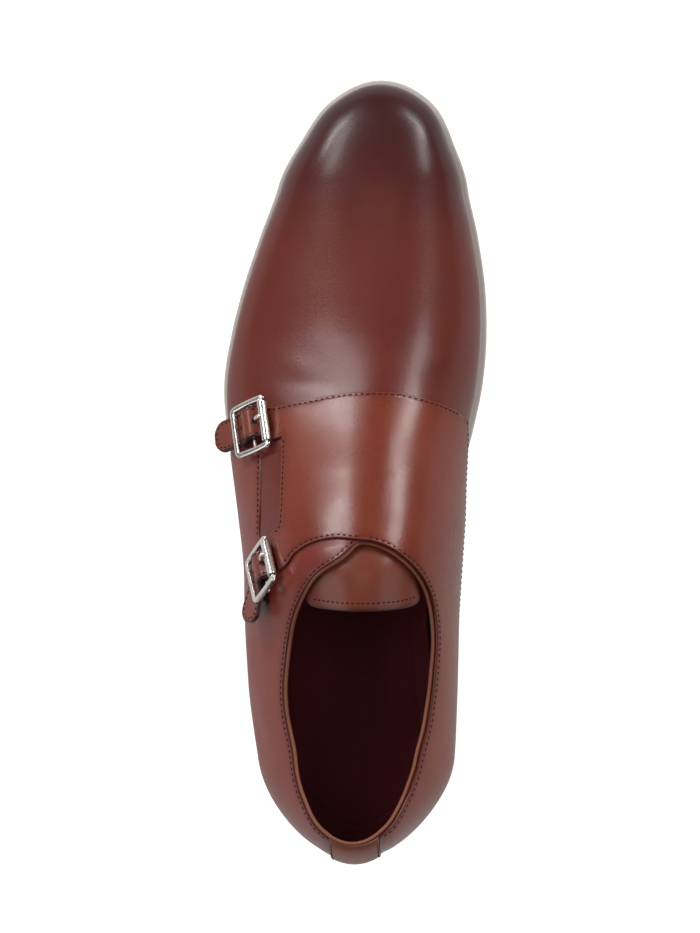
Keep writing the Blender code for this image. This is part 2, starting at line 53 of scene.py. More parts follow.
Section = namedtuple(
    "Section",
    "station turn soleLat soleMed bulgeLat bulgeMed bulgeZ shoulderLat shoulderMed crownLat crownMed",
)
sections = [Section(*row) for row in (
    (258, 90, 41.3, 41.3, 38.9, 38.9, 27.0, 0.55, 0.55, 21.0, 21.0),
    (258, 60, 38.5, 38.3, 36.2, 36.0, 27.0, 0.58, 0.58, 23.6, 23.0),
    (258, 30, 35.8, 32.7, 33.6, 30.5, 27.0, 0.58, 0.58, 24.4, 22.6),
    (258, 0, 40.1, 33.5, 37.7, 31.1, 27.0, 0.56, 0.56, 23.0, 21.2),
    (240, 0, 47.0, 37.1, 44.7, 34.7, 26.5, 0.53, 0.53, 22.0, 21.0),
    (220, 0, 54.5, 39.2, 52.1, 36.9, 26.5, 0.50, 0.50, 21.5, 21.5),
    (200, 0, 60.5, 38.8, 58.1, 36.4, 27.5, 0.48, 0.50, 19.5, 19.5),
    (182, 0, 62.4, 38.0, 60.0, 35.6, 30.0, 0.46, 0.50, 18.5, 18.5),
    (165, 0, 59.6, 36.0, 57.8, 34.0, 34.0, 0.46, 0.50, 19.5, 19.5),
    (148, 0, 53.3, 33.0, 53.9, 33.8, 38.0, 0.48, 0.52, 21.0, 21.0),
    (130, 0, 45.6, 29.5, 49.7, 34.8, 41.0, 0.48, 0.53, 22.5, 22.5),
    (112, 0, 39.5, 26.8, 46.0, 35.3, 42.0, 0.44, 0.54, 23.5, 23.5),
    (95, 0, 36.5, 26.8, 43.9, 36.1, 42.0, 0.36, 0.55, 19.0, 25.0),
    (78, 0, 35.4, 28.8, 42.4, 36.4, 42.0, 0.28, 0.54, 14.5, 26.0),
    (60, 0, 35.2, 31.5, 40.3, 36.5, 43.0, 0.28, 0.50, 13.5, 25.0),
    (40, 0, 34.4, 33.4, 37.3, 35.6, 45.0, 0.30, 0.44, 14.5, 20.0),
    (40, -35, 33.6, 33.0, 35.4, 33.6, 46.5, 0.42, 0.46, 18.5, 20.5),
    (40, -65, 34.6, 34.2, 36.6, 35.0, 47.0, 0.52, 0.54, 30.0, 29.0),
    (40, -90, 36.6, 36.6, 39.2, 39.2, 47.0, 0.60, 0.60, 33.5, 33.5),
)]
last = len(sections) - 1
ring = 2 * last                      # places round the shoe: 0 toe, last heel, ring toe again

Ridge = namedtuple("Ridge", "station x z")
ridge = [Ridge(*row) for row in (
    (0, -1.7, 104), (20, -1.7, 102), (40, -1.7, 98), (60, -1.7, 96), (78, -2.3, 97),
    (95, -3.0, 101), (112, -4.8, 102.5), (130, -6.5, 94.5), (148, -8.2, 84), (165, -9.8, 73.5),
    (182, -11.3, 64.5), (200, -12, 57.5), (220, -11, 53.5), (240, -10.2, 51), (258, -10, 49),
    (272, -10, 46.8), (286, -10, 43), (300, -10, 38),
)]
Feather = namedtuple("Feather", "station z inset")   # where the upper meets the sole
feather = [Feather(*row) for row in (
    (0, 27.3, 1.6), (20, 27.2, 1.6), (40, 27, 1.5), (60, 26.3, 1.4), (78, 25.2, 1.2),
    (95, 23.4, 1.0), (112, 20.8, 1.0), (130, 17.4, 1.2), (148, 14, 1.8), (165, 11.7, 2.6),
    (182, 11, 3.1), (208, 11, 3.2), (225, 11.5, 3.2), (240, 12.4, 3.2), (258, 13.8, 3.2),
    (272, 15.4, 3.2), (286, 17.2, 3.2), (300, 19.4, 3.2),
)]

collarEase = (                       # mm added at the collar, lateral and medial, for each half section from 12
    (0, 0), (-0.1, 0), (0.6, 0.1), (1.3, 0.15), (1.5, 0.1), (0.85, 0.1), (-0.2, -0.7), (-0.25, -0.75),
    (0.15, 0.0), (0.1, 0.15), (0.0, 0.35), (-0.1, 0.1), (-0.4, -0.4),
)


def smoothStep(t):
    return t * t * (3 - 2 * t)


def cubic(before, start, end, after, t):     # Catmull-Rom between start and end
    return 0.5 * (
        2 * start + (end - before) * t
        + (2 * before - 5 * start + 4 * end - after) * t * t
        + (3 * start - before - 3 * end + after) * t ** 3
    )


def splineAt(keys, values, x):
    keys, values, x = (np.asarray(v, float) for v in (keys, values, x))
    i = np.clip(np.searchsorted(keys, x) - 1, 0, len(keys) - 2)
    t = np.clip((x - keys[i]) / (keys[i + 1] - keys[i]), 0, 1)
    near = [values[np.clip(i + k, 0, len(keys) - 1)] for k in (-1, 0, 1, 2)]
    return cubic(*near, t)


def ridgeAt(column, station):
    return splineAt([row.station for row in ridge], [getattr(row, column) for row in ridge], station)


def featherAt(column, station):
    return splineAt([row.station for row in feather], [getattr(row, column) for row in feather], station)


def ringAt(column, place):
    if column + "Lat" in Section._fields:
        lateral, medial = column + "Lat", column + "Med"
    else:
        lateral = medial = column
    values = [getattr(row, lateral) for row in sections]
    values += [getattr(row, medial) for row in sections[last - 1:0:-1]]
    values = np.array(values, float)
    place = np.asarray(place, float) % ring
    i = np.floor(place).astype(int)
    return cubic(*[values[(i + k) % ring] for k in (-1, 0, 1, 2)], place - i)


def easeAt(place):
    row = np.where(place <= last, place, ring - place)
    halves = 12 + 0.5 * np.arange(len(collarEase))
    lateral, medial = (splineAt(halves, [pair[k] for pair in collarEase], row) for k in (0, 1))
    return np.where(place <= last, lateral, medial)


def planeAt(place):
    place = np.asarray(place, float) % ring
    side = np.where(place <= last, 1.0, -1.0)
    row = np.where(place <= last, place, ring - place)
    rows = np.arange(last + 1)
    station = np.interp(row, rows, [r.station for r in sections])
    turn = np.radians(np.interp(row, rows, [r.turn for r in sections]))
    foot = np.stack([ridgeAt("x", station), station], -1)
    return foot, np.stack([side * np.cos(turn), np.sin(turn)], -1)


def solePoint(place, inset=0.0):
    foot, out = planeAt(place)
    return foot + out * np.asarray(ringAt("sole", place) - inset)[..., None]


def skin(place, rise):               # rise 0 feather line, 1 fullest line, 2 ridge
    place, rise = np.broadcast_arrays(np.asarray(place, float), np.asarray(rise, float))
    foot, out = planeAt(place)
    bulge, bulgeZ = ringAt("bulge", place), ringAt("bulgeZ", place)
    edge = solePoint(place)[..., 1]
    foothold = solePoint(place, featherAt("inset", edge))
    reachLow = np.sum((foothold - foot) * out, -1)
    low = featherAt("z", foothold[..., 1])
    r = np.clip(rise, -0.2, 1)
    below = (1 - r) ** 2, 2 * r * (1 - r), r * r
    reachBelow = below[0] * reachLow + (below[1] + below[2]) * bulge
    zBelow = below[0] * low + below[1] * (low + 0.4 * (bulgeZ - low)) + below[2] * bulgeZ
    t = np.clip(rise - 1, 0, 1)
    above = (1 - t) ** 3, 3 * t * (1 - t) ** 2, 3 * t * t * (1 - t), t ** 3
    shoulder, crown = ringAt("shoulder", place), ringAt("crown", place)
    top = ridgeAt("z", foot[..., 1])
    crownZ = ridgeAt("z", foot[..., 1] + out[..., 1] * crown)
    reachAbove = (above[0] + above[1]) * bulge + above[2] * crown
    reachAbove = reachAbove + easeAt(place % ring) * smoothStep(np.clip(2 * t, 0, 1))
    zAbove = above[0] * bulgeZ + above[1] * (bulgeZ + shoulder * (top - bulgeZ))
    zAbove = zAbove + above[2] * crownZ + above[3] * top
    upper = rise > 1
    reach = np.where(upper, reachAbove, reachBelow)
    z = np.where(upper, zAbove, zBelow)
    return np.concatenate([foot + out * reach[..., None], z[..., None]], -1)


def skinNormal(place, rise, step=0.03):
    place, rise = np.broadcast_arrays(np.asarray(place, float), np.asarray(rise, float))
    along = skin(place + step, rise) - skin(place - step, rise)
    up = skin(place, np.minimum(rise + step, 2)) - skin(place, np.minimum(rise + step, 2) - 2 * step)
    normal = np.cross(along, up)
    normal /= np.linalg.norm(normal, axis=-1, keepdims=True) + 1e-12
    foot, out = planeAt(place)
    outward = np.sum(normal[..., :2] * out, -1) + normal[..., 2] * (rise > 1)
    return normal * np.where(outward < 0, -1.0, 1.0)[..., None]


def towards(station, turn=0.0, lateral=True):     # the place at a station, or at a turn at the heel
    keys = [-row.station - row.turn for row in sections]
    place = np.interp(-np.asarray(station, float) - turn, keys, range(last + 1))
    return place if lateral else ring - place


def halve(low, high, isShort):       # where isShort turns false, found by halving
    for _ in range(26):
        middle = (low + high) / 2
        if isShort(middle):
            low = middle
        else:
            high = middle
    return low


def solveRise(place, measure, low=0.0):      # where a growing measure of the skin passes zero
    return halve(low, 2.0, lambda rise: measure(skin(place, rise)) < 0)


# A chart of the skin: row is the section number from the toe, girth runs from -2 (medial feather)
# over 0 (ridge) to 2 (lateral feather). chartScale makes both roughly millimetres.
chartScale = 18.0, 62.0, 20.0


def chartToSkin(chart):
    row = chart[..., 0] / chartScale[0]
    side, b = np.sign(chart[..., 1]), np.abs(chart[..., 1])
    girth = np.where(b < chartScale[1], b / chartScale[1], 1 + (b - chartScale[1]) / chartScale[2])
    return np.where(side >= 0, row, ring - row), 2 - girth


def skinToChart(place, rise):
    row = place if place <= last else ring - place
    girth = 2 - rise
    b = chartScale[1] * min(girth, 1) + chartScale[2] * max(girth - 1, 0)
    return row * chartScale[0], b if place <= last else -b


def spotToChart(x, s):               # a spot seen from above, above the fullest line
    ridgeX = float(ridgeAt("x", s))
    place = float(towards(s, 0, x > ridgeX))
    half = abs(x - ridgeX)
    return skinToChart(place, solveRise(place, lambda p: half - abs(p[0] - ridgeX), 1.0))


def sideToChart(s, z, lateral):      # a spot seen from the side
    place = float(towards(s, 0, lateral))
    return skinToChart(place, solveRise(place, lambda p: p[2] - z))


def smoothPath(points, steps):
    points = [np.array(p, float) for p in points]
    held = [points[0]] + points + [points[-1]]
    path = [cubic(*held[i:i + 4], k / steps) for i in range(len(points) - 1) for k in range(steps)]
    return path + [points[-1]]


def runOf(points):                   # how far along a path each of its points is
    return np.concatenate([[0], np.cumsum(np.linalg.norm(np.diff(points, axis=0), axis=1))])


def alongPath(at, run, points):
    return np.stack([np.interp(at, run, points[:, k]) for k in range(points.shape[1])], -1)


def evenSteps(run, spacing):
    return np.linspace(0, run[-1], max(2, int(round(run[-1] / spacing))) + 1)


def resample(path, spacing):
    path = np.array(path, float)
    run = runOf(path)
    return alongPath(evenSteps(run, spacing), run, path)


# Outlines

throat = (
    (-31.4, 88), (-29.8, 100), (-25.6, 109.5), (-18.6, 116.6), (-11.2, 120.6),
    (-4, 121.6), (2.5, 116), (11, 110.4), (16, 104), (20.2, 95), (22.6, 85),
)
Collar = namedtuple("Collar", "station turn lateral medial")
collar = [Collar(*row) for row in (
    (72, 0, 75.8, 79.4), (58, 0, 76.2, 80.2), (44, 0, 78.8, 82), (40, -25, 82, 84),
    (40, -50, 85.2, 86.2), (40, -75, 87.4, 87.8), (40, -90, 88, 88),
)]


def collarSpot(row, lateral):
    place = float(towards(row.station, row.turn, lateral))
    height = row.lateral if lateral else row.medial
    return place, solveRise(place, lambda p: p[2] - height, 1.0)


def toplineOf(side):                 # chart points from the throat's front back to the heel
    spots = throat[5:] if side > 0 else throat[4::-1]
    edge = [spotToChart(*spot) for spot in spots]
    edge += [skinToChart(*collarSpot(row, side > 0)) for row in collar]
    return [(a, abs(b) * side if k else b) for k, (a, b) in enumerate(edge)]


# Materials

class Wire:                          # a node socket that takes part in arithmetic
    def __init__(self, tree, socket):
        self.tree, self.socket = tree, socket

    def maths(self, operation, first, second, clamp=False):
        settings = {"operation": operation, "use_clamp": clamp}
        return self.tree.node("ShaderNodeMath", settings, {0: first, 1: second})

    def __add__(self, other): return self.maths("ADD", self, other)
    def __radd__(self, other): return self.maths("ADD", other, self)
    def __sub__(self, other): return self.maths("SUBTRACT", self, other)
    def __rsub__(self, other): return self.maths("SUBTRACT", other, self)
    def __mul__(self, other): return self.maths("MULTIPLY", self, other)
    def __rmul__(self, other): return self.maths("MULTIPLY", other, self)
    def atLeast(self, other): return self.maths("MAXIMUM", self, other)
    def clamped(self): return self.maths("ADD", self, 0.0, clamp=True)

    def smooth(self, low, high):     # 0 below low, 1 above high
        sockets = {"Value": self, "From Min": low, "From Max": high}
        return self.tree.node("ShaderNodeMapRange", {"interpolation_type": "SMOOTHSTEP"}, sockets)


class Finish:                        # one material's node tree
    def __init__(self, name):
        self.material = bpy.data.materials.new(name)
        self.material.use_nodes = True
        self.nodes, self.links = self.material.node_tree.nodes, self.material.node_tree.links
        self.shader = self.nodes["Principled BSDF"]

    def node(self, kind, settings=None, sockets=None, output=0):
        made = self.nodes.new(kind)
        for key, value in (settings or {}).items():
            setattr(made, key, value)
        for key, value in (sockets or {}).items():
            self.feed(made.inputs[key], value)
        return Wire(self, made.outputs[output])

    def feed(self, socket, value):
        if isinstance(value, Wire):
            self.links.new(value.socket, socket)
        elif socket.type == "RGBA":
            socket.default_value = (*value, 1)
        else:
            socket.default_value = value

    def mix(self, share, first, second):                           # of two colours
        return self.node("ShaderNodeMix", {"data_type": "RGBA"}, {0: share, 6: first, 7: second}, output=2)

    def attribute(self, name):
        return self.node("ShaderNodeAttribute", {"attribute_name": name}, output=2)

    def place(self):
        return self.node("ShaderNodeTexCoord", output=3)

    def noise(self, scale, detail=3.0, rough=0.6):
        sockets = {"Vector": self.place(), "Scale": scale, "Detail": detail, "Roughness": rough}
        return self.node("ShaderNodeTexNoise", {}, sockets)

    def bump(self, height, strength, distance):
        sockets = {"Strength": strength, "Distance": distance, "Height": height}
        self.set("Normal", self.node("ShaderNodeBump", {}, sockets))

    def set(self, name, value):
        self.feed(self.shader.inputs[name], value)


hide = {                             # what every leather shares, sizes of patterns as Noise and Voronoi scales
    "cloud": 16.0, "fine": 90.0, "pores": 1500.0, "pebbles": 700.0,
    "lightClouds": 0.3, "darkClouds": 0.22, "speckle": 0.12, "bump": 0.1, "bumpDepth": 0.0004,
    "polish": 0.22, "polishRough": 0.2, "shine": 0.32,
}


# edgeDark burnishes within edgeWidth mm of the cut edge, toeDark the toe cap's place, rim paints a highlight
# along the turned edge, and deep paints shade on what lies far from the edge
def leather(name, base, dark, light, rough, toeDark=0.0, edgeDark=0.5, edgeWidth=5.0, rim=0.0, deep=0.0):
    finish = Finish(name)
    edge = finish.attribute("edge")                                # mm from the cut edge
    cloud, fine = finish.noise(hide["cloud"], 4.0), finish.noise(hide["fine"])
    color = finish.mix(cloud.smooth(0.42, 0.72) * hide["lightClouds"], base, light)
    color = finish.mix((1.0 - cloud.smooth(0.28, 0.52)) * hide["darkClouds"], color, dark)
    color = finish.mix(fine * hide["speckle"], color, dark)
    burnish = (1.0 - edge.smooth(0.3, edgeWidth)) * edgeDark * (0.55 + cloud * 0.8)
    if toeDark:
        burnish = burnish.atLeast(finish.attribute("toe") * toeDark)
    color = finish.mix(burnish.clamped(), color, dark)
    if rim:                                                        # the cut face itself is painted dark
        # painted highlight: a lighter band 0.3 to 0.9 mm in from the edge, where the rounded edge catches the light
        color = finish.mix((1.0 - edge.smooth(0.3, 0.9)) * rim, color, light)
        color = finish.mix((1.0 - edge.smooth(0.06, 0.2)) * 0.9, color, dark)
    # painted shade: darker far from the edge, for the shade deep inside the shoe
    if deep:
        color = finish.mix(edge.smooth(2.0, 12.0) * deep, color, dark)
    finish.set("Base Color", color)
    finish.set("Roughness", rough + (fine - 0.5) * 0.12 + (cloud - 0.5) * 0.08)
    finish.set("Coat Weight", hide["polish"])
    finish.set("Coat Roughness", hide["polishRough"])
    finish.set("Specular IOR Level", hide["shine"])
    pores = finish.node("ShaderNodeTexVoronoi", {}, {"Vector": finish.place(), "Scale": hide["pores"]})
    pebbles = finish.noise(hide["pebbles"], 2.0, 0.5)
    finish.bump(pores * 0.5 + pebbles * 0.7 + fine * 0.3, hide["bump"], hide["bumpDepth"])
    return finish.material


def plain(name, color, rough, metallic=0.0, speckSize=220.0, vary=0.12, grain=0.1, shine=0.5):
    finish = Finish(name)
    speck = finish.noise(speckSize)
    darker = tuple(c * (1 - vary * 2) for c in color)
    finish.set("Base Color", finish.mix(speck, darker, color))
    finish.set("Roughness", rough + (speck - 0.5) * 0.15)
    finish.set("Metallic", metallic)
    finish.set("Specular IOR Level", shine)
    finish.bump(speck, grain, 0.0003)
    return finish.material


paint = {                            # base, dark and light colour of each leather
    "vamp": ((0.150, 0.024, 0.016), (0.036, 0.007, 0.009), (0.195, 0.036, 0.022)),
    "panel": ((0.215, 0.038, 0.018), (0.075, 0.012, 0.010), (0.275, 0.058, 0.027)),
    "quarter": ((0.218, 0.034, 0.021), (0.075, 0.013, 0.012), (0.265, 0.054, 0.034)),
    "strip": ((0.225, 0.058, 0.028), (0.100, 0.022, 0.014), (0.300, 0.085, 0.042)),
    "strap": ((0.200, 0.042, 0.024), (0.045, 0.010, 0.008), (0.250, 0.060, 0.032)),
    "lining": ((0.120, 0.038, 0.022), (0.034, 0.007, 0.009), (0.190, 0.070, 0.036)),
}
vampLeather = leather("vampLeather", *paint["vamp"], rough=0.33, toeDark=0.9, edgeDark=0.3)
# rim paints a highlight along the cut edges of the panel, quarter and strip
panelLeather = leather("panelLeather", *paint["panel"], rough=0.29, edgeDark=0.4, rim=0.3)
tongueLeather = leather("tongueLeather", *paint["strap"], rough=0.36, edgeDark=0.9, edgeWidth=3.2)
quarterLeather = leather("quarterLeather", *paint["quarter"], rough=0.36, edgeDark=0.45, rim=0.15)
stripLeather = leather("stripLeather", *paint["strip"], rough=0.46, edgeDark=0.5, edgeWidth=3.0, rim=0.15)
strapLeather = leather("strapLeather", *paint["strap"], rough=0.34, edgeDark=1.3, edgeWidth=1.4)
# deep paints shade on the lining far from the collar, inside the shoe
liningLeather = leather("liningLeather", *paint["lining"], rough=0.55, edgeDark=0.0, deep=0.95)
rimLeather = plain("rimLeather", (0.28, 0.088, 0.038), 0.5, vary=0.2)
sockLeather = plain("sockLeather", (0.170, 0.021, 0.031), 0.62, speckSize=600.0, grain=0.25, shine=0.15)
threadDark = plain("threadDark", (0.026, 0.007, 0.006), 0.75, shine=0.2)
# painted shade: the near black floor of each strap hole, for the shade inside the hole
holeShade = plain("holeShade", (0.012, 0.004, 0.004), 0.9)
soleRubber = plain("soleRubber", (0.62, 0.555, 0.505), 0.62, vary=0.06, grain=0.2)
treadRubber = plain("treadRubber", (0.47, 0.415, 0.37), 0.7, vary=0.08, grain=0.25)
nickel = plain("nickel", (0.86, 0.83, 0.79), 0.27, metallic=1.0, vary=0.02, grain=0.02)
# near black elastic, darkened further as painted shade under the rear buckle
elastic = plain("elastic", (0.020, 0.016, 0.014), 0.85, speckSize=900.0, grain=0.5)
print("materials ready")

# Meshes

soleRound = solePoint(np.linspace(0, ring, 720, endpoint=False))
soleLow, soleHigh = np.min(soleRound, axis=0), np.max(soleRound, axis=0)
midLow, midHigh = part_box("midsole")
home = (
    (midLow.x + midHigh.x) / 2 / mm - (soleLow[0] + soleHigh[0]) / 2,
    (midLow.y + midHigh.y) / 2 / mm + (soleLow[1] + soleHigh[1]) / 2,
)


def toFrame(points):
    p = np.asarray(points, float)
    return np.stack([p[..., 0] + home[0], home[1] - p[..., 1], p[..., 2]], -1) * mm


def meshObject(name, points, faces, materials=(), picks=None, attributes=None):
    mesh = bpy.data.meshes.new(name)
    faces = [tuple(reversed(face)) for face in faces]              # s runs against the frame's y
    mesh.from_pydata([tuple(p) for p in toFrame(points)], [], faces)
    for material in materials:
        mesh.materials.append(material)
    if picks is not None:
        mesh.polygons.foreach_set("material_index", np.asarray(picks, np.int32))
    for key, values in (attributes or {}).items():
        mesh.attributes.new(key, "FLOAT", "POINT").data.foreach_set("value", np.asarray(values, np.float32))
    mesh.shade_smooth()
    obj = bpy.data.objects.new(name, mesh)
    scene.collection.objects.link(obj)
    return obj


def tidyMesh(obj, sharp, merge=0.0):
    bm = bmesh.new()
    bm.from_mesh(obj.data)
    if merge:
        bmesh.ops.remove_doubles(bm, verts=bm.verts[:], dist=merge)
    bmesh.ops.recalc_face_normals(bm, faces=bm.faces[:])
    bm.to_mesh(obj.data)
    bm.free()
    obj.data.set_sharp_from_angle(angle=math.radians(sharp))
    return obj


def gridFaces(rows, columns, closeColumns=False):
    faces = []
    for i in range(rows - 1):
        for j in range(columns if closeColumns else columns - 1):
            k = (j + 1) % columns
            a = i * columns
            faces.append((a + j, a + k, a + columns + k, a + columns + j))
    return faces


def circleOf(radius, count, flat=1.0):
    turns = np.linspace(0, 2 * np.pi, count + 1)[:-1]
    return [(radius * np.cos(a), flat * radius * np.sin(a)) for a in turns]


def rounded(distance, radius):       # 0 at an edge, 1 beyond the radius, along a quarter circle
    return np.sqrt(1 - (1 - np.clip(distance / radius, 0, 1)) ** 2)


def finishPiece(obj, node):
    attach(obj, "root")
    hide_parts(node)


# The skin as a chart

creases = {                          # soft folds: from, to (x, s, z), half width, depth, all in mm
    "quarterFoldFront": ((37.5, 96, 72), (38.5, 66, 66), 3.2, 0.35),
    "quarterFoldBack": ((35.0, 92, 79), (35.5, 60, 72), 2.2, 0.22),
    "vampFoldLateral": ((34, 186, 52), (14, 179, 62), 4.0, 0.22),
    "vampFoldMedial": ((-40, 184, 46), (-30, 180, 58), 4.5, 0.22),
    "heelFold": ((34, 44, 60), (38, 58, 52), 5.0, 0.3),
}


def creaseDepth(points):
    depth = np.zeros(points.shape[:-1])
    for start, end, width, deep in creases.values():
        start, end = np.array(start, float), np.array(end, float)
        along = end - start
        t = np.clip(np.sum((points - start) * along, -1) / np.dot(along, along), 0, 1)
        away = np.linalg.norm(points - start - along * t[..., None], axis=-1)
        fade = 0.35 + 0.65 * np.sin(np.pi * t)
        depth += deep * fade * np.exp(-(away / width) ** 2)
        depth -= 0.6 * deep * fade * np.exp(-((away - 2 * width) / width) ** 2)
    return depth


nearRidge = 1.975                    # the highest rise at which the skin's normal is taken


def normalAt(chart):
    place, rise = chartToSkin(chart)
    return skinNormal(place, np.minimum(rise, nearRidge))


def lifted(chart, lift=0.0):         # points above the last by a height, with the folds pressed in
    chart = np.asarray(chart, float)
    points = skinAt(chart)
    height = np.broadcast_to(np.asarray(lift, float), points.shape[:-1]) - creaseDepth(points)
    return points + normalAt(chart) * height[..., None]


def slopes(chart, step=0.25):        # how the skin moves for one step of the chart each way
    return [
        (skinAt(chart + shift) - skinAt(chart - shift)) / (2 * step)
        for shift in (np.array((step, 0.0)), np.array((0.0, step)))
    ]


def skinAt(chart):
    return skin(*chartToSkin(chart))


def chartMove(chart, move):          # the chart step that moves the skin by a small vector
    a, b = slopes(chart)
    aa, ab, bb = np.sum(a * a, -1), np.sum(a * b, -1), np.sum(b * b, -1)
    am, bm = np.sum(a * move, -1), np.sum(b * move, -1)
    det = aa * bb - ab * ab + 1e-12
    return np.stack([(bb * am - ab * bm) / det, (aa * bm - ab * am) / det], -1)


def unit(v):
    return v / (np.linalg.norm(v, axis=-1, keepdims=True) + 1e-12)


def inwardOf(outline, closed=True):  # unit vectors on the skin, to the left of a path in the chart
    if closed:
        ahead = np.roll(outline, -1, 0) - np.roll(outline, 1, 0)
    else:
        ahead = np.gradient(outline, axis=0)
    a, b = slopes(outline)
    along = unit(a * ahead[:, :1] + b * ahead[:, 1:])
    left = np.stack([-ahead[:, 1], ahead[:, 0]], -1)
    inward = a * left[:, :1] + b * left[:, 1:]
    return unit(inward - along * np.sum(inward * along, -1, keepdims=True))


def shifted(outline, distance, closed=False):
    outline = np.asarray(outline, float)
    for _ in range(2):
        outline = outline + chartMove(outline, inwardOf(outline, closed) * distance / 2)
    return outline


def distanceTo(points, line, closed=True):
    line = np.asarray(line, float)
    start, end = (line, np.roll(line, -1, 0)) if closed else (line[:-1], line[1:])
    along = end - start
    size = np.sum(along * along, -1) + 1e-12
    out = np.empty(len(points))
    for k in range(0, len(points), 1500):
        gap = points[k:k + 1500, None] - start
        t = np.clip(np.sum(gap * along, -1) / size, 0, 1)
        out[k:k + 1500] = np.sqrt(np.min(np.sum((gap - along * t[..., None]) ** 2, -1), 1))
    return out


def insideOf(points, outline):
    x, y = points[:, 0][:, None], points[:, 1][:, None]
    x0, y0 = outline[:, 0], outline[:, 1]
    x1, y1 = np.roll(x0, -1), np.roll(y0, -1)
    crosses = ((y0 > y) != (y1 > y)) & (x < (x1 - x0) * (y - y0) / (y1 - y0 + 1e-12) + x0)
    return np.sum(crosses, 1) % 2 == 1


def runsLeft(outline):               # whether a closed outline goes anticlockwise
    x, y = outline[:, 0], outline[:, 1]
    return np.sum(x * np.roll(y, -1) - np.roll(x, -1) * y) > 0


sheetMesh = {"edgeStep": 0.8, "innerStep": 1.4, "edgeRings": (0.1, 0.25, 0.5, 0.8, 1.1, 1.5, 2.2)}   # mm


class Sheet:                         # a piece of leather lying on the last, closed underneath
    def __init__(self, runs):
        step, grid, rings = sheetMesh["edgeStep"], sheetMesh["innerStep"], sheetMesh["edgeRings"]
        outline = np.concatenate([resample(run, step)[:-1] for run in runs])
        self.outline = outline if runsLeft(outline) else outline[::-1]
        self.edge = skinAt(self.outline)
        kept = [self.outline]
        for distance in rings:
            ringPoints = shifted(self.outline, distance, True)
            near = distanceTo(skinAt(ringPoints), self.edge) > 0.93 * distance
            kept.append(ringPoints[near & insideOf(ringPoints, self.outline)])
        low, high = self.outline.min(0), self.outline.max(0)
        rows = []
        for k, b in enumerate(np.arange(low[1], high[1], grid * 0.87)):
            a = np.arange(low[0] + (k % 2) * grid / 2, high[0], grid)
            rows.append(np.stack([a, np.full_like(a, b)], -1))
        inner = np.concatenate(rows)
        inner = inner[insideOf(inner, self.outline)]
        inner = inner[distanceTo(skinAt(inner), self.edge) > rings[-1] + 0.6 * grid]
        points = np.concatenate(kept + [inner])
        count = len(self.outline)
        loop = list(range(count))
        sides = [(k, (k + 1) % count) for k in loop]
        made = delaunay_2d_cdt([Vector(p) for p in points], sides, [loop], 1, 1e-6)
        self.chart = np.array([tuple(p) for p in made[0]])
        self.faces = [tuple(face) for face in made[2]]
        self.distance = distanceTo(skinAt(self.chart), self.edge)
        links = dict.fromkeys(link for face in self.faces for link in zip(face, face[1:] + face[:1]))
        self.border = [(a, b) for a, b in links if (b, a) not in links]

    def build(self, name, top, look, material):       # look gives under, round, low and groove
        under, low = look["under"], look["low"]
        height = under + (top - under) * (low + (1 - low) * rounded(self.distance, look["round"]))
        at, width, deep = look["groove"]
        height = height - deep * np.exp(-((self.distance - at) / width) ** 2)
        count = len(self.chart)
        points = np.concatenate([lifted(self.chart, height), lifted(self.chart, under)])
        faces = list(self.faces) + [tuple(i + count for i in reversed(face)) for face in self.faces]
        faces += [(b, a, a + count, b + count) for a, b in self.border]
        obj = meshObject(name, points, faces, [material], attributes={"edge": np.tile(self.distance, 2)})
        return tidyMesh(obj, 50)


def joined(name, objects):
    first = objects[0]
    with bpy.context.temp_override(active_object=first, selected_editable_objects=objects):
        bpy.ops.object.join()
    first.name = name
    return first


# The base: vamp, collar edge and lining in one wall

baseLook = {                         # steps and counts of the mesh, then mm
    "columnStep": 1.45, "toplineStep": 1.15, "rows": 58, "liningRows": 22, "rimRows": 7,
    "wall": 2.2, "rimWall": 1.35, "thinOver": 7, "swell": 0.75, "toeFrom": 226, "toeOver": 62,
}


def evenly(chart, spacing):          # spaced evenly along the skin
    dense = resample(chart, 0.4)
    run = runOf(skinAt(dense))
    return alongPath(evenSteps(run, spacing), run, dense)


topline = evenly(smoothPath(toplineOf(1)[::-1] + toplineOf(-1), 6), baseLook["toplineStep"])
crossing = int(np.argmax(topline[:, 1] < 0))
before, after = topline[crossing - 1], topline[crossing]
share = before[1] / (before[1] - after[1])
frontRow = before[0] + (after[0] - before[0]) * share
lateralTop = topline[:crossing][::-1]                              # from the throat's front to the heel
medialTop = topline[crossing:]
print("topline ready", len(lateralTop), len(medialTop), round(frontRow, 2))


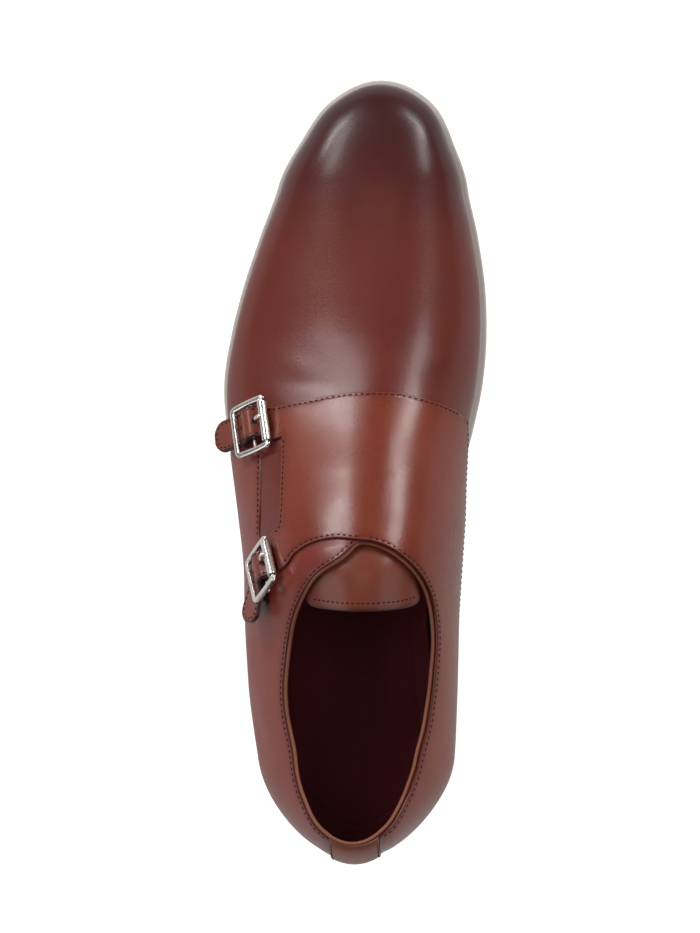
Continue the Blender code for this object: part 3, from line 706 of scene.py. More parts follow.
def baseWall():
    look = baseLook
    feet = chartScale[1] + chartScale[2]
    front = np.linspace(0, frontRow, int(frontRow / look["columnStep"]) + 1)
    columns = []                                                   # (row, top girth, side)
    for side, topPath in ((1, lateralTop), (-1, medialTop)):
        rows = [(row, 0.0) for row in front] + [(row, abs(b)) for row, b in topPath]
        if side < 0:
            rows = rows[::-1][1:-1]                                # the heel and toe columns are shared
        columns += [(row, top, side) for row, top in rows]
    columns = np.array(columns)

    def wallChart(shares):           # share 0 at the feather line, 1 at the top
        girth = feet + (columns[:, 1] - feet) * shares[:, None]
        return np.stack([np.broadcast_to(columns[:, 0], girth.shape), girth * columns[:, 2]], -1)

    outer = wallChart(np.linspace(0, 1, look["rows"]))
    inner = wallChart(np.linspace(1, 0, look["liningRows"]))
    outerPoints = lifted(outer)
    isRim = columns[:, 1] > 0.01
    below = np.clip((np.abs(inner[..., 1]) - columns[:, 1]) / look["thinOver"], 0, 1)
    thick = np.where(isRim, look["rimWall"] + (look["wall"] - look["rimWall"]) * below, look["wall"])
    innerPoints = lifted(inner, -thick)
    edgeUp = unit(outerPoints[-1] - outerPoints[-2])
    normal = normalAt(outer[-1])
    rim = []
    edgeThick = thick[0][:, None]
    for angle in np.linspace(0, np.pi, look["rimRows"] + 2)[1:-1]:
        swell = np.where(isRim, look["swell"] * np.sin(angle), 0.0)[:, None]
        sunk = normal * edgeThick * (1 - np.cos(angle)) / 2
        rim.append(outerPoints[-1] - sunk + edgeUp * swell * edgeThick / 2)
    grid = np.concatenate([outerPoints, np.array(rim), innerPoints])
    rowsTotal, width = grid.shape[:2]
    rimStart = look["rows"] - 1
    rimEnd = look["rows"] + look["rimRows"]
    faces, picks = [], []
    for i in range(rowsTotal - 1):
        for j in range(width):
            k = (j + 1) % width
            inRim = rimStart <= i < rimEnd
            if inRim and not (isRim[j] or isRim[k]):
                continue                                           # no wall along the ridge
            a = i * width
            faces.append((a + j, a + k, a + width + k, a + width + j))
            picks.append(0 if i < rimStart else 1 if inRim else 2)
    low = (len(grid) - 1) * width                                  # the lining's foot, closed to the upper's
    faces += [(low + j, low + (j + 1) % width, (j + 1) % width, j) for j in range(width)]
    picks += [2] * width
    flat = grid.reshape(-1, 3)
    toe = smoothStep(np.clip((flat[:, 1] - look["toeFrom"]) / look["toeOver"], 0, 1))
    attributes = {"edge": distanceTo(flat, skinAt(topline), False), "toe": toe}
    obj = meshObject("baseWall", flat, faces, [vampLeather, rimLeather, liningLeather], picks, attributes)
    return tidyMesh(obj, 60, merge=0.02 * mm)


base = baseWall()
print("base wall", len(base.data.polygons))


# Leather pieces over the base

seams = {"stitchInset": 1.1, "belowTopline": 0.8, "heelGap": 9.0, "heelLow": 27.3}   # mm
heelCentre = float(ridgeAt("x", 40))


def heelSpot(offset, rise):          # chart point at the back, this far from the centre line
    span = (last - 3.0, last) if offset >= 0 else (last, last + 3.0)
    return skinToChart(halve(*span, lambda place: skin(place, rise)[0] - heelCentre > offset), rise)


def heelSpotAt(offset, z):           # the same, at a height
    rise = 1.0
    for _ in range(6):
        row, b = heelSpot(offset, rise)
        place = row / chartScale[0] if offset >= 0 else ring - row / chartScale[0]
        rise = solveRise(place, lambda p: p[2] - z)
    return heelSpot(offset, rise), rise


def cutRun(run):                     # a run toward the heel, ended under the strip at the back
    points = skinAt(run)
    covered = (points[:, 1] < 45) & (np.abs(points[:, 0] - heelCentre) < seams["heelGap"])
    return run[:int(np.argmax(covered))] if covered.any() else run


def sideRun(points, lateral):
    return smoothPath([sideToChart(s, z, lateral) for s, z in points], 6)


def spotRun(points):
    return smoothPath([spotToChart(*spot) for spot in points], 6)


def heelRun(offset, riseFrom, riseTo):
    return [np.array(heelSpot(offset, r)) for r in np.linspace(riseFrom, riseTo, 24)]


def topEdge(path):                   # a side's topline moved a little down the shoe
    path = evenly(path, 1.0)
    away = seams["belowTopline"]
    moved = shifted(path, away)
    if np.mean(np.abs(moved[:, 1]) - np.abs(path[:, 1])) < 0:
        moved = shifted(path, -away)
    return cutRun(moved)


def riseOf(chart):
    return float(chartToSkin(np.asarray(chart))[1])


medialEdge, lateralEdge = topEdge(medialTop), topEdge(lateralTop)
lowMedial, lowMedialRise = heelSpotAt(-seams["heelGap"], seams["heelLow"])
lowLateralRise = heelSpotAt(seams["heelGap"], seams["heelLow"])[1]

panelLook = {                        # seams seen from above as (x, s), the wing seen from the side as (s, z)
    "front": (
        (33, 172.6), (28.6, 172.2), (16, 174.6), (6, 176.6), (-5, 177.6), (-19, 177), (-30, 174.2),
        (-39.2, 170.6),
    ),
    "wing": (
        (168.6, 45.2), (158, 42), (140, 41), (120, 41), (100, 39.5), (86, 36), (75, 31), (65, 27.4),
        (54, 26.8), (40, 27.3),
    ),
    "rear": ((-4, 122.6), (5, 123.2), (13, 121.6), (19.4, 117.8), (22.6, 113.4), (26.4, 111)),
    "side": (
        (29.4, 124.4), (27.8, 126), (25.8, 128.4), (25.6, 145), (25.7, 159.6), (27, 160.4), (30.6, 159.3),
    ),
    "top": 1.5, "topUnderStrip": 0.75, "stripFade": 5,             # mm over the last
    "under": 0.3, "round": 0.4, "low": 0.4, "groove": (seams["stitchInset"], 0.3, 0.1),
}
panelFront, wingMedial = spotRun(panelLook["front"]), sideRun(panelLook["wing"], False)
panelSheet = Sheet([
    panelFront,
    wingMedial + [np.array(lowMedial)],
    heelRun(-seams["heelGap"], lowMedialRise, riseOf(medialEdge[-1]) - 0.004),
    list(medialEdge[::-1]),
    spotRun(panelLook["rear"]),
    spotRun(panelLook["side"][:4]),
    spotRun(panelLook["side"][3:]),
])
print("panel", len(panelSheet.chart), len(panelSheet.faces))


def panelTop(chart):
    points = skinAt(chart)
    away = np.abs(points[:, 0] - heelCentre) - seams["heelGap"]
    clear = np.where(points[:, 1] < 45, np.clip(away / panelLook["stripFade"], 0, 1), 1.0)
    low = panelLook["topUnderStrip"]
    return low + (panelLook["top"] - low) * smoothStep(clear)


panel = panelSheet.build("strapPanel", panelTop(panelSheet.chart), panelLook, panelLeather)

quarterLook = {
    "seam": (
        (34.1, 155.5), (34.1, 145), (34.1, 132), (34.1, 124), (31.5, 119.5), (25, 118), (16, 123), (5, 125.4),
        (-2.6, 124.0),
    ),
    "wing": (
        (157.4, 44), (154, 38.5), (140, 31), (124, 26.2), (112, 22.6), (104, 22.3), (95, 23.6), (78, 25.4),
        (60, 26.5), (40, 27.3),
    ),
    "corner": (158.2, 49), "top": 0.55, "topUnderPanel": 0.2, "panelFade": (0.3, 3.0),
    "under": -0.3, "round": 0.4, "low": 0.6, "groove": (seams["stitchInset"], 0.3, 0.1),
}
quarterSeam, quarterWing = quarterLook["seam"], quarterLook["wing"]
quarterRuns = [
    list(lateralEdge),
    heelRun(seams["heelGap"], riseOf(lateralEdge[-1]) - 0.004, lowLateralRise),
    sideRun(quarterWing, True)[::-1],
    [sideToChart(*spot, True) for spot in (quarterWing[0], quarterLook["corner"])] + [spotToChart(*quarterSeam[0])],
    spotRun(quarterSeam),
]
quarterSheet = Sheet(quarterRuns)


def quarterTop(chart):
    away = distanceTo(skinAt(chart), panelSheet.edge)
    away = np.where(insideOf(chart, panelSheet.outline), 0, away)
    begin, over = quarterLook["panelFade"]
    low = quarterLook["topUnderPanel"]
    return low + (quarterLook["top"] - low) * np.clip((away - begin) / over, 0, 1)


quarter = quarterSheet.build("lateralQuarter", quarterTop(quarterSheet.chart), quarterLook, quarterLeather)
print("quarter", len(quarterSheet.chart))

stripLook = {
    "half": 9.2, "columns": 26, "rows": 46, "lift": 1.45, "under": 0.2, "round": 0.6,
    "groove": (1.2, 0.35, 0.15),
}


def heelStrip():                     # the strip at the back
    look = stripLook
    u = np.linspace(-1, 1, look["columns"])
    rise = riseOf(skinToChart(*collarSpot(collar[-1], True))) * np.linspace(0, 1, look["rows"])
    half = np.array([last - heelSpot(look["half"], r)[0] / chartScale[0] for r in rise])
    places = last - half[:, None] * u
    rises = np.broadcast_to(rise[:, None], places.shape)
    points = skin(places, rises)
    normal = skinNormal(places, rises)
    side = (1 - np.abs(u)) * look["half"]
    top = np.linalg.norm(points - points[-1:], axis=-1)
    edge = np.minimum(side[None], top + 0.02)
    at, wide, deep = look["groove"]
    height = -look["under"] + (look["lift"] + look["under"]) * (0.4 + 0.6 * rounded(edge, look["round"]))
    height -= deep * np.exp(-((side[None] - at) / wide) ** 2)
    outer = points + normal * height[..., None]
    inner = points - normal * look["under"]
    grid = np.concatenate([outer.reshape(-1, 3), inner.reshape(-1, 3)])
    rows, width = places.shape
    count = rows * width
    faces = gridFaces(rows, width)
    faces += [tuple(i + count for i in reversed(face)) for face in faces]
    around = np.arange(count).reshape(rows, width)
    border = [int(i) for i in (*around[0], *around[1:, -1], *around[-1, -2::-1], *around[-2:0:-1, 0])]
    faces += [(b, a, a + count, b + count) for a, b in zip(border, border[1:] + border[:1])]
    obj = meshObject("heelStrip", grid, faces, [stripLeather], attributes={"edge": np.tile(edge.reshape(-1), 2)})
    return tidyMesh(obj, 50)


strip = heelStrip()

tongueLook = {
    "outline": (
        (-27, 150), (-27, 112), (-29.2, 101.4), (-27.4, 98.2), (-20, 96.4), (-6, 95.6), (6, 96.0), (15, 97.0),
        (18.6, 99.2), (20.4, 112), (20, 150), (-4, 151),
    ),
    "top": -2.65, "under": -4.6, "round": 1.0, "low": 0.4, "groove": (3.4, 0.35, 0.12),
}
tongueSpots = [np.array(spotToChart(*spot)) for spot in tongueLook["outline"]]
tongueSheet = Sheet([
    tongueSpots[:3], spotRun(tongueLook["outline"][2:9]), tongueSpots[8:11], tongueSpots[10:] + tongueSpots[:1],
])
tongue = tongueSheet.build("tongueLeather", tongueLook["top"], tongueLook, tongueLeather)
print("tongue", len(tongueSheet.chart))


# Soles and insole

# profile(places) gives rows of (inset, height, share out from the middle), from the top's middle down
def slab(name, profile, material, places, closed=True):
    grid = []
    for inset, height, share in profile(places):
        outline = solePoint(places, inset)
        centre = planeAt(places)[0]
        spot = centre + (outline - centre) * share
        grid.append(np.concatenate([spot, np.broadcast_to(height, places.shape)[:, None]], -1))
    grid = np.array(grid)
    count, width = grid.shape[:2]
    faces = gridFaces(count, width, closed)
    if not closed:
        first = [i * width for i in range(count)]
        final = [i * width + width - 1 for i in range(count)]
        faces += [tuple(first[::-1]), tuple(final)]
    return tidyMesh(meshObject(name, grid.reshape(-1, 3), faces, [material]), 40, merge=0.01 * mm)


soleLook = {                         # mm below the feather line, set back from the sole's edge, and a cut line
    "midsole": {"top": 0.3, "low": 6.5, "setTop": 0.0, "setLow": 0.5, "corner": 0.8, "line": 1.9, "deep": 0.3},
    "outsole": {"top": 6.8, "low": 11.0, "setTop": 0.9, "setLow": 1.6, "corner": 0.6, "line": 0.0, "deep": 0.0},
    "heel": {"top": 11.3, "low": 100.0, "setTop": 1.0, "setLow": 2.6, "corner": 0.8, "line": 9.2, "deep": 0.35},
}
heelFront = 76.0                     # the heel block's breast, mm from the back


def soleProfile(look):
    setTop, setLow, corner = look["setTop"], look["setLow"], look["corner"]

    def rows(places):
        feet = featherAt("z", solePoint(places)[:, 1])
        z0, z1 = (np.maximum(0.0, feet - look[key]) for key in ("top", "low"))
        out = [(0.0, z0, 0.0), (8.0, z0, 1.0), (setTop + corner + 0.6, z0, 1.0)]
        turns = [(corner * (1 - np.sin(a)), corner * (1 - np.cos(a))) for a in np.linspace(0, np.pi / 2, 5)]
        out += [(setTop + inward, z0 - down, 1.0) for inward, down in turns]
        for share in np.linspace(0.0, 1.0, 15)[1:-1]:
            down = corner + (z0 - z1 - 2 * corner) * share
            cut = look["deep"] * np.exp(-((down - look["line"]) / 0.22) ** 2)
            out.append((setTop + (setLow - setTop) * share + cut, z0 - down, 1.0))
        out += [(setLow + inward, z1 + up, 1.0) for inward, up in turns[::-1]]
        return out + [(8.0, z1, 1.0), (0.0, z1, 0.0)]

    return rows


allRound = np.arange(0, ring, 0.1)
heelRound = np.linspace(float(towards(heelFront)), float(towards(heelFront, 0, False)), 150)
midsole = slab("midsoleRand", soleProfile(soleLook["midsole"]), soleRubber, allRound)
outsole = slab("outsoleTread", soleProfile(soleLook["outsole"]), treadRubber, allRound)
heelBlock = slab("heelBlock", soleProfile(soleLook["heel"]), treadRubber, heelRound, closed=False)

insoleLook = {                       # mm over the feather line; the edge is (inward, down from the top)
    "top": 3.3, "hollow": 2.9, "under": 0.3, "inset": 2.8,
    "edge": (
        (14, 0.35), (9, 0.28), (6, 0.15), (4.9, 0.1), (4.5, 0.24), (4.1, 0.1), (2.4, 0.0), (1.0, 0.0),
        (0, -0.1), (-1.2, -0.35), (-1.9, -0.7),                    # it turns up a little against the lining
    ),
    "back": ((-1.6, 2.0), (-0.6, 0.6), (0.0, 0.3)),                # (inward, height) down to its underside
}


def insoleProfile(places):
    look = insoleLook
    station = solePoint(places)[:, 1]
    z = featherAt("z", station)
    edge = featherAt("inset", station) + look["inset"]
    out = [(0.0, z + look["hollow"], share) for share in (0.0, 0.4)]
    out += [(edge + inward, z + look["top"] - drop, 1.0) for inward, drop in look["edge"]]
    out += [(edge + inward, z + height, 1.0) for inward, height in look["back"]]
    return out + [(0.0, z + look["under"], 0.0)]


insole = slab("sockLining", insoleProfile, sockLeather, allRound)
print("soles ready")

# Buckles and straps

# at is a buckle's middle, along follows its roller and across the strap; a strap's path is (slide along
# the roller, place across, height) in mm, from beside the roller over the middle bar to its tip
Buckle = namedtuple("Buckle", "name at along across strap")
buckles = [
    Buckle("front", (38.4, 164.9, 57.7), (-2.9, -18.3, 6.9), (11.9, -4.9, -8.7), (
        (-1.5, -5.4, -2.5), (-1.5, -4.6, -2.2), (-1.5, -2.6, -0.6), (-1.5, -1.5, 0.8), (-1.6, 0, 1.4),
        (-1.6, 1.8, 0.95), (-1.7, 4.8, -1.4), (-1.8, 7, -2.1), (-2.0, 9.2, -2.5), (-3.0, 20.8, -3.6),
    )),
    Buckle("rear", (33.4, 111.4, 79.8), (-3.5, -12.9, 10.5), (8.2, -11.4, -11.0), (
        (-1.5, -5.4, -2.2), (-1.5, -4.6, -2.0), (-1.3, -2.6, -0.6), (-1.3, -1.5, 0.8), (-1.1, 0, 1.4),
        (-0.8, 1.8, 0.95), (-0.2, 4.8, -1.4), (0.4, 7, -2.1), (1.4, 9.2, -2.5), (5.0, 14.6, -2.6),
        (9.4, 19.6, -2.3),
    )),
]
buckleSize = {
    "length": 20.8, "across": 17.4, "bar": 2.2, "thick": 2.0, "corner": 2.3, "bow": 0.35,
    "roller": 1.75, "pivot": 0.7, "pinHead": 0.65, "prong": 0.85,
    "prongPath": ((3.0, 1.0), (2.5, 1.75), (1.9, 2.15), (0.8, 2.55), (-0.2, 2.65), (-0.7, 2.5)),
}
strapSize = {                        # holes are places along a strap's path, the tab's path is (along, height)
    "width": 12.6, "thick": 1.5, "round": 0.55, "stitchInset": 1.5, "holes": (-2.1, 4.3), "holeRadius": 0.9,
    "tabWidth": 10.0, "tabThick": 0.9, "tab": ((-0.8, -2.2), (1.5, -2.3), (4.6, -3.1), (7.2, -3.7), (9.0, -4.0)),
}


def buckleAxes(buckle):
    along = unit(np.array(buckle.along, float))
    across = np.array(buckle.across, float)
    across = unit(across - along * np.dot(along, across))
    normal = np.cross(along, across)
    return np.array([along, across, normal * np.sign(normal[2])])


def onBuckle(buckle, local):         # (along, across, height) to the shoe's frame
    return np.array(buckle.at, float) + np.asarray(local, float) @ buckleAxes(buckle)


def upOf(buckle):
    return onBuckle(buckle, (0, 0, 1)) - onBuckle(buckle, (0, 0, 0))


def buckleMesh(buckle, kind, points, faces):
    return tidyMesh(meshObject(buckle.name + kind, points, faces, [nickel]), 60)


def barFaces(count, width):          # rings joined along a bar, with both ends closed
    ends = [tuple(range(width))[::-1], tuple((count - 1) * width + j for j in range(width))]
    return gridFaces(count, width, True) + ends


def sweep(path, section, ups, scales):   # rings of a section, (side, up) pairs in mm, along a path
    path = np.asarray(path, float)
    ahead = unit(np.gradient(path, axis=0))
    ups = np.broadcast_to(np.array(ups, float), path.shape)
    side = unit(np.cross(ahead, ups))
    up = np.cross(side, ahead)
    section = np.asarray(section, float)
    spread = side[:, None] * section[:, :1] + up[:, None] * section[:, 1:]
    rings = path[:, None] + np.asarray(scales)[:, None, None] * spread
    return rings.reshape(-1, 3), barFaces(*rings.shape[:2])


def gather(parts):
    points, faces, shift = [], [], 0
    for partPoints, partFaces in parts:
        points.append(partPoints)
        faces += [tuple(i + shift for i in face) for face in partFaces]
        shift += len(partPoints)
    return np.concatenate(points), faces


def squareSection(width, thick, power=3.4):   # a rectangle with round corners
    circle = np.array(circleOf(1, 24))
    return np.sign(circle) * np.abs(circle) ** (2 / power) * (width / 2, thick / 2)


def taperEnds(count, rounding):      # scales that close both ends of a bar with a dome
    scales = np.ones(count)
    for k in range(rounding):
        scales[k] = scales[-1 - k] = np.sin(np.pi / 2 * (k + 0.35) / rounding)
    return scales


def domedBar(start, end, radius, up, count=12):
    length = np.linalg.norm(end - start)
    t = [radius * (1 - np.cos(np.pi / 2 * k / count)) / length for k in range(count)]
    shares = np.array(t + [1 - v for v in t[::-1]])
    radii = [np.sin(np.pi / 2 * (k + 0.15) / count) for k in range(count)]
    path = start + (end - start) * shares[:, None]
    return sweep(path, circleOf(radius, 20), up, radii + radii[::-1])


def buckleFrame(buckle):
    size = buckleSize
    half, reach = (size["length"] - size["bar"]) / 2, size["across"] / 2
    corner, far = size["corner"] - size["bar"] / 2 + 0.4, reach - size["bar"] / 2
    arm = far + reach - corner - 0.2
    path = [(-half - size["bow"] * np.sin(np.pi * t), -reach + 0.2 + t * arm) for t in np.linspace(0, 1, 10)]
    for a in np.linspace(np.pi, np.pi / 2, 7)[1:]:
        path.append((-half + corner + corner * np.cos(a), far - corner + corner * np.sin(a)))
    middle = [(-half + corner + (2 * half - 2 * corner) * k / 6, far) for k in range(1, 6)]
    path += middle + [(-a, b) for a, b in path[::-1]]
    path = resample([np.array((a, b, 0.0)) for a, b in path], 0.7)
    section, up = squareSection(size["bar"], size["thick"]), upOf(buckle)
    parts = [sweep(onBuckle(buckle, path), section, up, taperEnds(len(path), 3))]
    roll = -reach + size["roller"]
    for across, height in ((roll, 0.0), (0.0, -1.5)):              # the roller's pin and the middle bar
        ends = onBuckle(buckle, ((-half - 0.9, across, height), (half + 0.9, across, height)))
        parts.append(domedBar(*ends, size["pivot"], up))
    for side in (-1, 1):                                           # the pin's head on each arm
        ends = onBuckle(buckle, ((side * (half + 0.5), roll, -0.1), (side * (half + 1.45), roll, -0.1)))
        parts.append(domedBar(*ends, size["pinHead"], up, count=4))
    return buckleMesh(buckle, "BuckleFrame", *gather(parts))


def buckleRoller(buckle):
    size = buckleSize
    half = size["length"] / 2 - size["bar"] - 0.3
    across = -size["across"] / 2 + size["roller"]
    profile = [(-half, 1.15), (-half, 1.5), (-half + 0.12, 1.72), (-half + 0.4, size["roller"])]
    profile += [(x, size["roller"]) for x in np.linspace(-half + 0.8, half - 0.8, 9)]
    profile += [(-x, r) for x, r in profile[:4][::-1]] + [(half - 0.5, 1.1), (-half + 0.5, 1.1)]
    profile.append(profile[0])                                     # closed round its bore, merged below
    points = []
    for x, r in profile:
        for k in range(32):
            a = 2 * np.pi * k / 32
            slit = 0.16 if k == 25 and r > 1.3 else 0.0            # where the rolled sheet meets
            points.append((x, across + (r - slit) * np.cos(a), (r - slit) * np.sin(a)))
    faces = gridFaces(len(profile), 32, True)
    obj = meshObject(buckle.name + "BuckleRoller", onBuckle(buckle, points), faces, [nickel])
    return tidyMesh(obj, 45, merge=0.001 * mm)


def bucklePin(buckle):               # the prong's tip, up through the strap and over the roller
    size = buckleSize
    slide = buckle.strap[0][0]
    roll = -size["across"] / 2 + size["roller"]
    path = resample(smoothPath([(slide, roll + a, h) for a, h in size["prongPath"]], 6), 0.22)
    scales = np.interp(np.linspace(0, 1, len(path)), (0, 0.06, 0.5, 0.85, 0.96, 1), (0.7, 1, 1, 0.86, 0.66, 0.25))
    section = circleOf(size["prong"], 16, 0.85)
    return buckleMesh(buckle, "BucklePin", *sweep(onBuckle(buckle, path), section, upOf(buckle), scales))


class Ribbon:                        # a strap along a path in a buckle's frame: at(d, side) is on its top
    def __init__(self, buckle, path, width, thick, tip):
        self.buckle, self.width, self.thick, self.tip = buckle, width, thick, tip
        self.path = resample(smoothPath(path, 8), 0.45)
        self.run = runOf(self.path)
        self.length = self.run[-1]

    def line(self, d):
        return alongPath(d, self.run, self.path)

    def axes(self, d):
        ahead = unit(self.line(np.minimum(d + 0.5, self.length)) - self.line(np.maximum(d - 0.5, 0)))
        side = unit(np.array((1.0, 0, 0)) - ahead * ahead[..., :1])
        up = np.cross(side, ahead)
        return side, np.where(up[..., 2:] < 0, -up, up)

    def half(self, d):
        into = np.clip((d - (self.length - self.tip)) / self.tip, 0, 0.998)
        return self.width / 2 * np.sqrt(1 - into * into)

    def at(self, d, across, lift=0.0):
        side, up = self.axes(d)
        reach, height = np.asarray(across)[..., None], np.asarray(self.thick / 2 + lift)[..., None]
        return onBuckle(self.buckle, self.line(d) + side * reach + up * height)

    def build(self, name):
        turn = np.sin(np.linspace(0, math.radians(86), 14))
        d = np.concatenate([
            np.arange(0, self.length - self.tip, 0.6), self.length - self.tip * (1 - turn),
        ])[:, None]
        half = self.half(d)
        across = half * np.sin(np.linspace(-np.pi / 2, np.pi / 2, 25))
        edge = np.minimum(half - np.abs(across), np.maximum(self.length - d, 0))
        groove = 0.12 * np.exp(-((edge - strapSize["stitchInset"]) / 0.35) ** 2)
        top = self.thick * (0.3 + 0.7 * rounded(edge, strapSize["round"])) - groove
        d = np.broadcast_to(d, across.shape)
        upper = self.at(d, across, top - self.thick)
        lower = self.at(d, across, -self.thick + 0 * across)
        rows = np.concatenate([upper, lower[:, ::-1]], 1)
        edges = np.concatenate([edge, edge[:, ::-1] * 0], 1).reshape(-1)
        faces = barFaces(*rows.shape[:2])
        obj = meshObject(name, rows.reshape(-1, 3), faces, [strapLeather], attributes={"edge": edges})
        return tidyMesh(obj, 55)


# the dish's floor takes the painted shade of the hole
def punched(ribbon, along):          # a hole: a dark dish with a turned rim in the strap's top
    radius = strapSize["holeRadius"]
    d = np.interp(along, ribbon.path[:, 1], ribbon.run)
    side, up = ribbon.axes(d)
    centre = ribbon.line(d) + up * ribbon.thick / 2
    ahead = np.cross(up, side)
    rings = (
        (radius + 0.5, -0.15), (radius + 0.32, 0.06), (radius + 0.12, 0.12), (radius, 0.1), (radius * 0.94, 0.07),
    )
    points = [centre + side * x + ahead * y + up * h for r, h in rings for x, y in circleOf(r, 20)]
    faces = barFaces(len(rings), 20)
    picks = [0] * (len(faces) - 1) + [1]
    obj = meshObject("strapHole", onBuckle(ribbon.buckle, points), faces, [strapLeather, holeShade], picks)
    return tidyMesh(obj, 50)


made, ribbons = {}, {}
for buckle in buckles:
    made["buckle_frame_" + buckle.name] = buckleFrame(buckle)
    made["buckle_roller_" + buckle.name] = buckleRoller(buckle)
    made["buckle_prong_" + buckle.name] = bucklePin(buckle)
    size, slide = strapSize, buckle.strap[0][0]
    ribbon = Ribbon(buckle, buckle.strap, size["width"], size["thick"], size["width"] / 2 - 0.8)
    ribbons[buckle.name] = ribbon
    tab = Ribbon(buckle, [(slide, a, h) for a, h in size["tab"]], size["tabWidth"], size["tabThick"], 2.0)
    strap = ribbon.build(buckle.name + "StrapEnd")
    made["strap_end_" + buckle.name] = joined(strap.name, [strap] + [punched(ribbon, at) for at in size["holes"]])
    made["buckle_tab_" + buckle.name] = tab.build(buckle.name + "BuckleTab")

elasticShadeLook = {"folds": (((32.2, 108.4), (30.0, 98.6), 1.15), ((34.4, 106.6), (32.6, 99.4), 0.95)), "flat": 0.8}


# folds of elastic, near black to paint the shade under the rear buckle as well
def elasticFolds():                  # the folded elastic that shows beside the rear buckle
    parts = []
    for start, end, radius in elasticShadeLook["folds"]:
        chart = evenly(np.array([spotToChart(*start), spotToChart(*end)]), 0.8)
        path, section = lifted(chart, 0.5 + 0.5 * radius), circleOf(radius, 14, elasticShadeLook["flat"])
        parts.append(sweep(path, section, normalAt(chart), taperEnds(len(chart), 4)))
    points, faces = gather(parts)
    return tidyMesh(meshObject("elasticFolds", points, faces, [elastic]), 60)


folds = elasticFolds()
print("buckles ready")

# Stitches

thread = {"pitch": 2.2, "length": 1.3, "thick": 0.55, "lift": 0.06, "vary": (0.92, 1.06), "seed": 4}   # mm


def stitchTree():
    tree = bpy.data.node_groups.new("stitchRow", "GeometryNodeTree")
    face = tree.interface
    face.new_socket("Geometry", in_out="INPUT", socket_type="NodeSocketGeometry")
    sockets = {}
    for label, kind in (("length", "Float"), ("thick", "Float"), ("thread", "Material")):
        socket = face.new_socket(label, in_out="INPUT", socket_type="NodeSocket" + kind)
        sockets[label] = socket.identifier
    face.new_socket("Geometry", in_out="OUTPUT", socket_type="NodeSocketGeometry")
    links = tree.links

    def add(kind, **settings):
        node = tree.nodes.new(kind)
        for key, value in settings.items():
            setattr(node, key, value)
        return node

    entry, leave = add("NodeGroupInput"), add("NodeGroupOutput")
    bead = add("GeometryNodeMeshUVSphere")
    bead.inputs["Segments"].default_value = 7
    bead.inputs["Rings"].default_value = 5
    bead.inputs["Radius"].default_value = 0.5
    size = add("ShaderNodeCombineXYZ")
    links.new(entry.outputs["length"], size.inputs[0])
    links.new(entry.outputs["thick"], size.inputs[1])
    links.new(entry.outputs["thick"], size.inputs[2])
    shape = add("GeometryNodeTransform")
    links.new(bead.outputs["Mesh"], shape.inputs["Geometry"])
    links.new(size.outputs[0], shape.inputs["Scale"])
    along, up = (add("GeometryNodeInputNamedAttribute", data_type="FLOAT_VECTOR") for _ in range(2))
    along.inputs["Name"].default_value, up.inputs["Name"].default_value = "along", "up"
    turn = add("FunctionNodeAlignRotationToVector", axis="X")
    lean = add("FunctionNodeAlignRotationToVector", axis="Z", pivot_axis="X")
    links.new(along.outputs["Attribute"], turn.inputs["Vector"])
    links.new(turn.outputs["Rotation"], lean.inputs["Rotation"])
    links.new(up.outputs["Attribute"], lean.inputs["Vector"])
    vary = add("FunctionNodeRandomValue", data_type="FLOAT")
    vary.inputs[2].default_value, vary.inputs[3].default_value = thread["vary"]
    vary.inputs["Seed"].default_value = thread["seed"]
    place = add("GeometryNodeInstanceOnPoints")
    links.new(entry.outputs["Geometry"], place.inputs["Points"])
    links.new(shape.outputs["Geometry"], place.inputs["Instance"])
    links.new(lean.outputs["Rotation"], place.inputs["Rotation"])
    links.new(vary.outputs[1], place.inputs["Scale"])
    real = add("GeometryNodeRealizeInstances")
    paintNode = add("GeometryNodeSetMaterial")
    links.new(place.outputs["Instances"], real.inputs["Geometry"])
    links.new(real.outputs["Geometry"], paintNode.inputs["Geometry"])
    links.new(entry.outputs["thread"], paintNode.inputs["Material"])
    links.new(paintNode.outputs["Geometry"], leave.inputs[0])
    return tree, sockets


stitchGroup, stitchSockets = stitchTree()


def stitchRow(name, points, along, up):           # one stitch at each point, lying along, its top up
    obj = meshObject(name, points, [])
    for key, values in (("along", along), ("up", up)):
        turned = (values * (1, -1, 1)).astype(np.float32)          # into the frame
        obj.data.attributes.new(key, "FLOAT_VECTOR", "POINT").data.foreach_set("vector", turned.reshape(-1))
    modifier = obj.modifiers.new("stitches", "NODES")
    modifier.node_group = stitchGroup
    modifier[stitchSockets["length"]] = thread["length"] * mm
    modifier[stitchSockets["thick"]] = thread["thick"] * mm
    modifier[stitchSockets["thread"]] = threadDark
    graph = bpy.context.evaluated_depsgraph_get()
    mesh = bpy.data.meshes.new_from_object(obj.evaluated_get(graph), depsgraph=graph)
    obj.modifiers.remove(modifier)
    for attribute in ("along", "up"):
        if attribute in mesh.attributes:
            mesh.attributes.remove(mesh.attributes[attribute])
    obj.data = mesh
    obj.data.shade_smooth()
    return obj


def sewOnSkin(name, run, heightAt):
    chart = evenly(np.asarray(run, float), thread["pitch"])
    middle = (chart[1:] + chart[:-1]) / 2
    points = lifted(middle, heightAt(middle) + thread["lift"])
    ends = lifted(chart)
    return stitchRow(name, points, unit(ends[1:] - ends[:-1]), normalAt(middle))


def insideRun(sheet, run, distance):   # a run moved into its sheet, kept off the corners
    run = evenly(np.asarray(run, float), 0.8)
    moved = shifted(run, distance)
    if np.mean(insideOf(moved, sheet.outline)) < 0.5:
        moved = shifted(run, -distance)
    clear = distanceTo(skinAt(moved), sheet.edge) > 0.9 * distance
    return moved[clear & insideOf(moved, sheet.outline)]


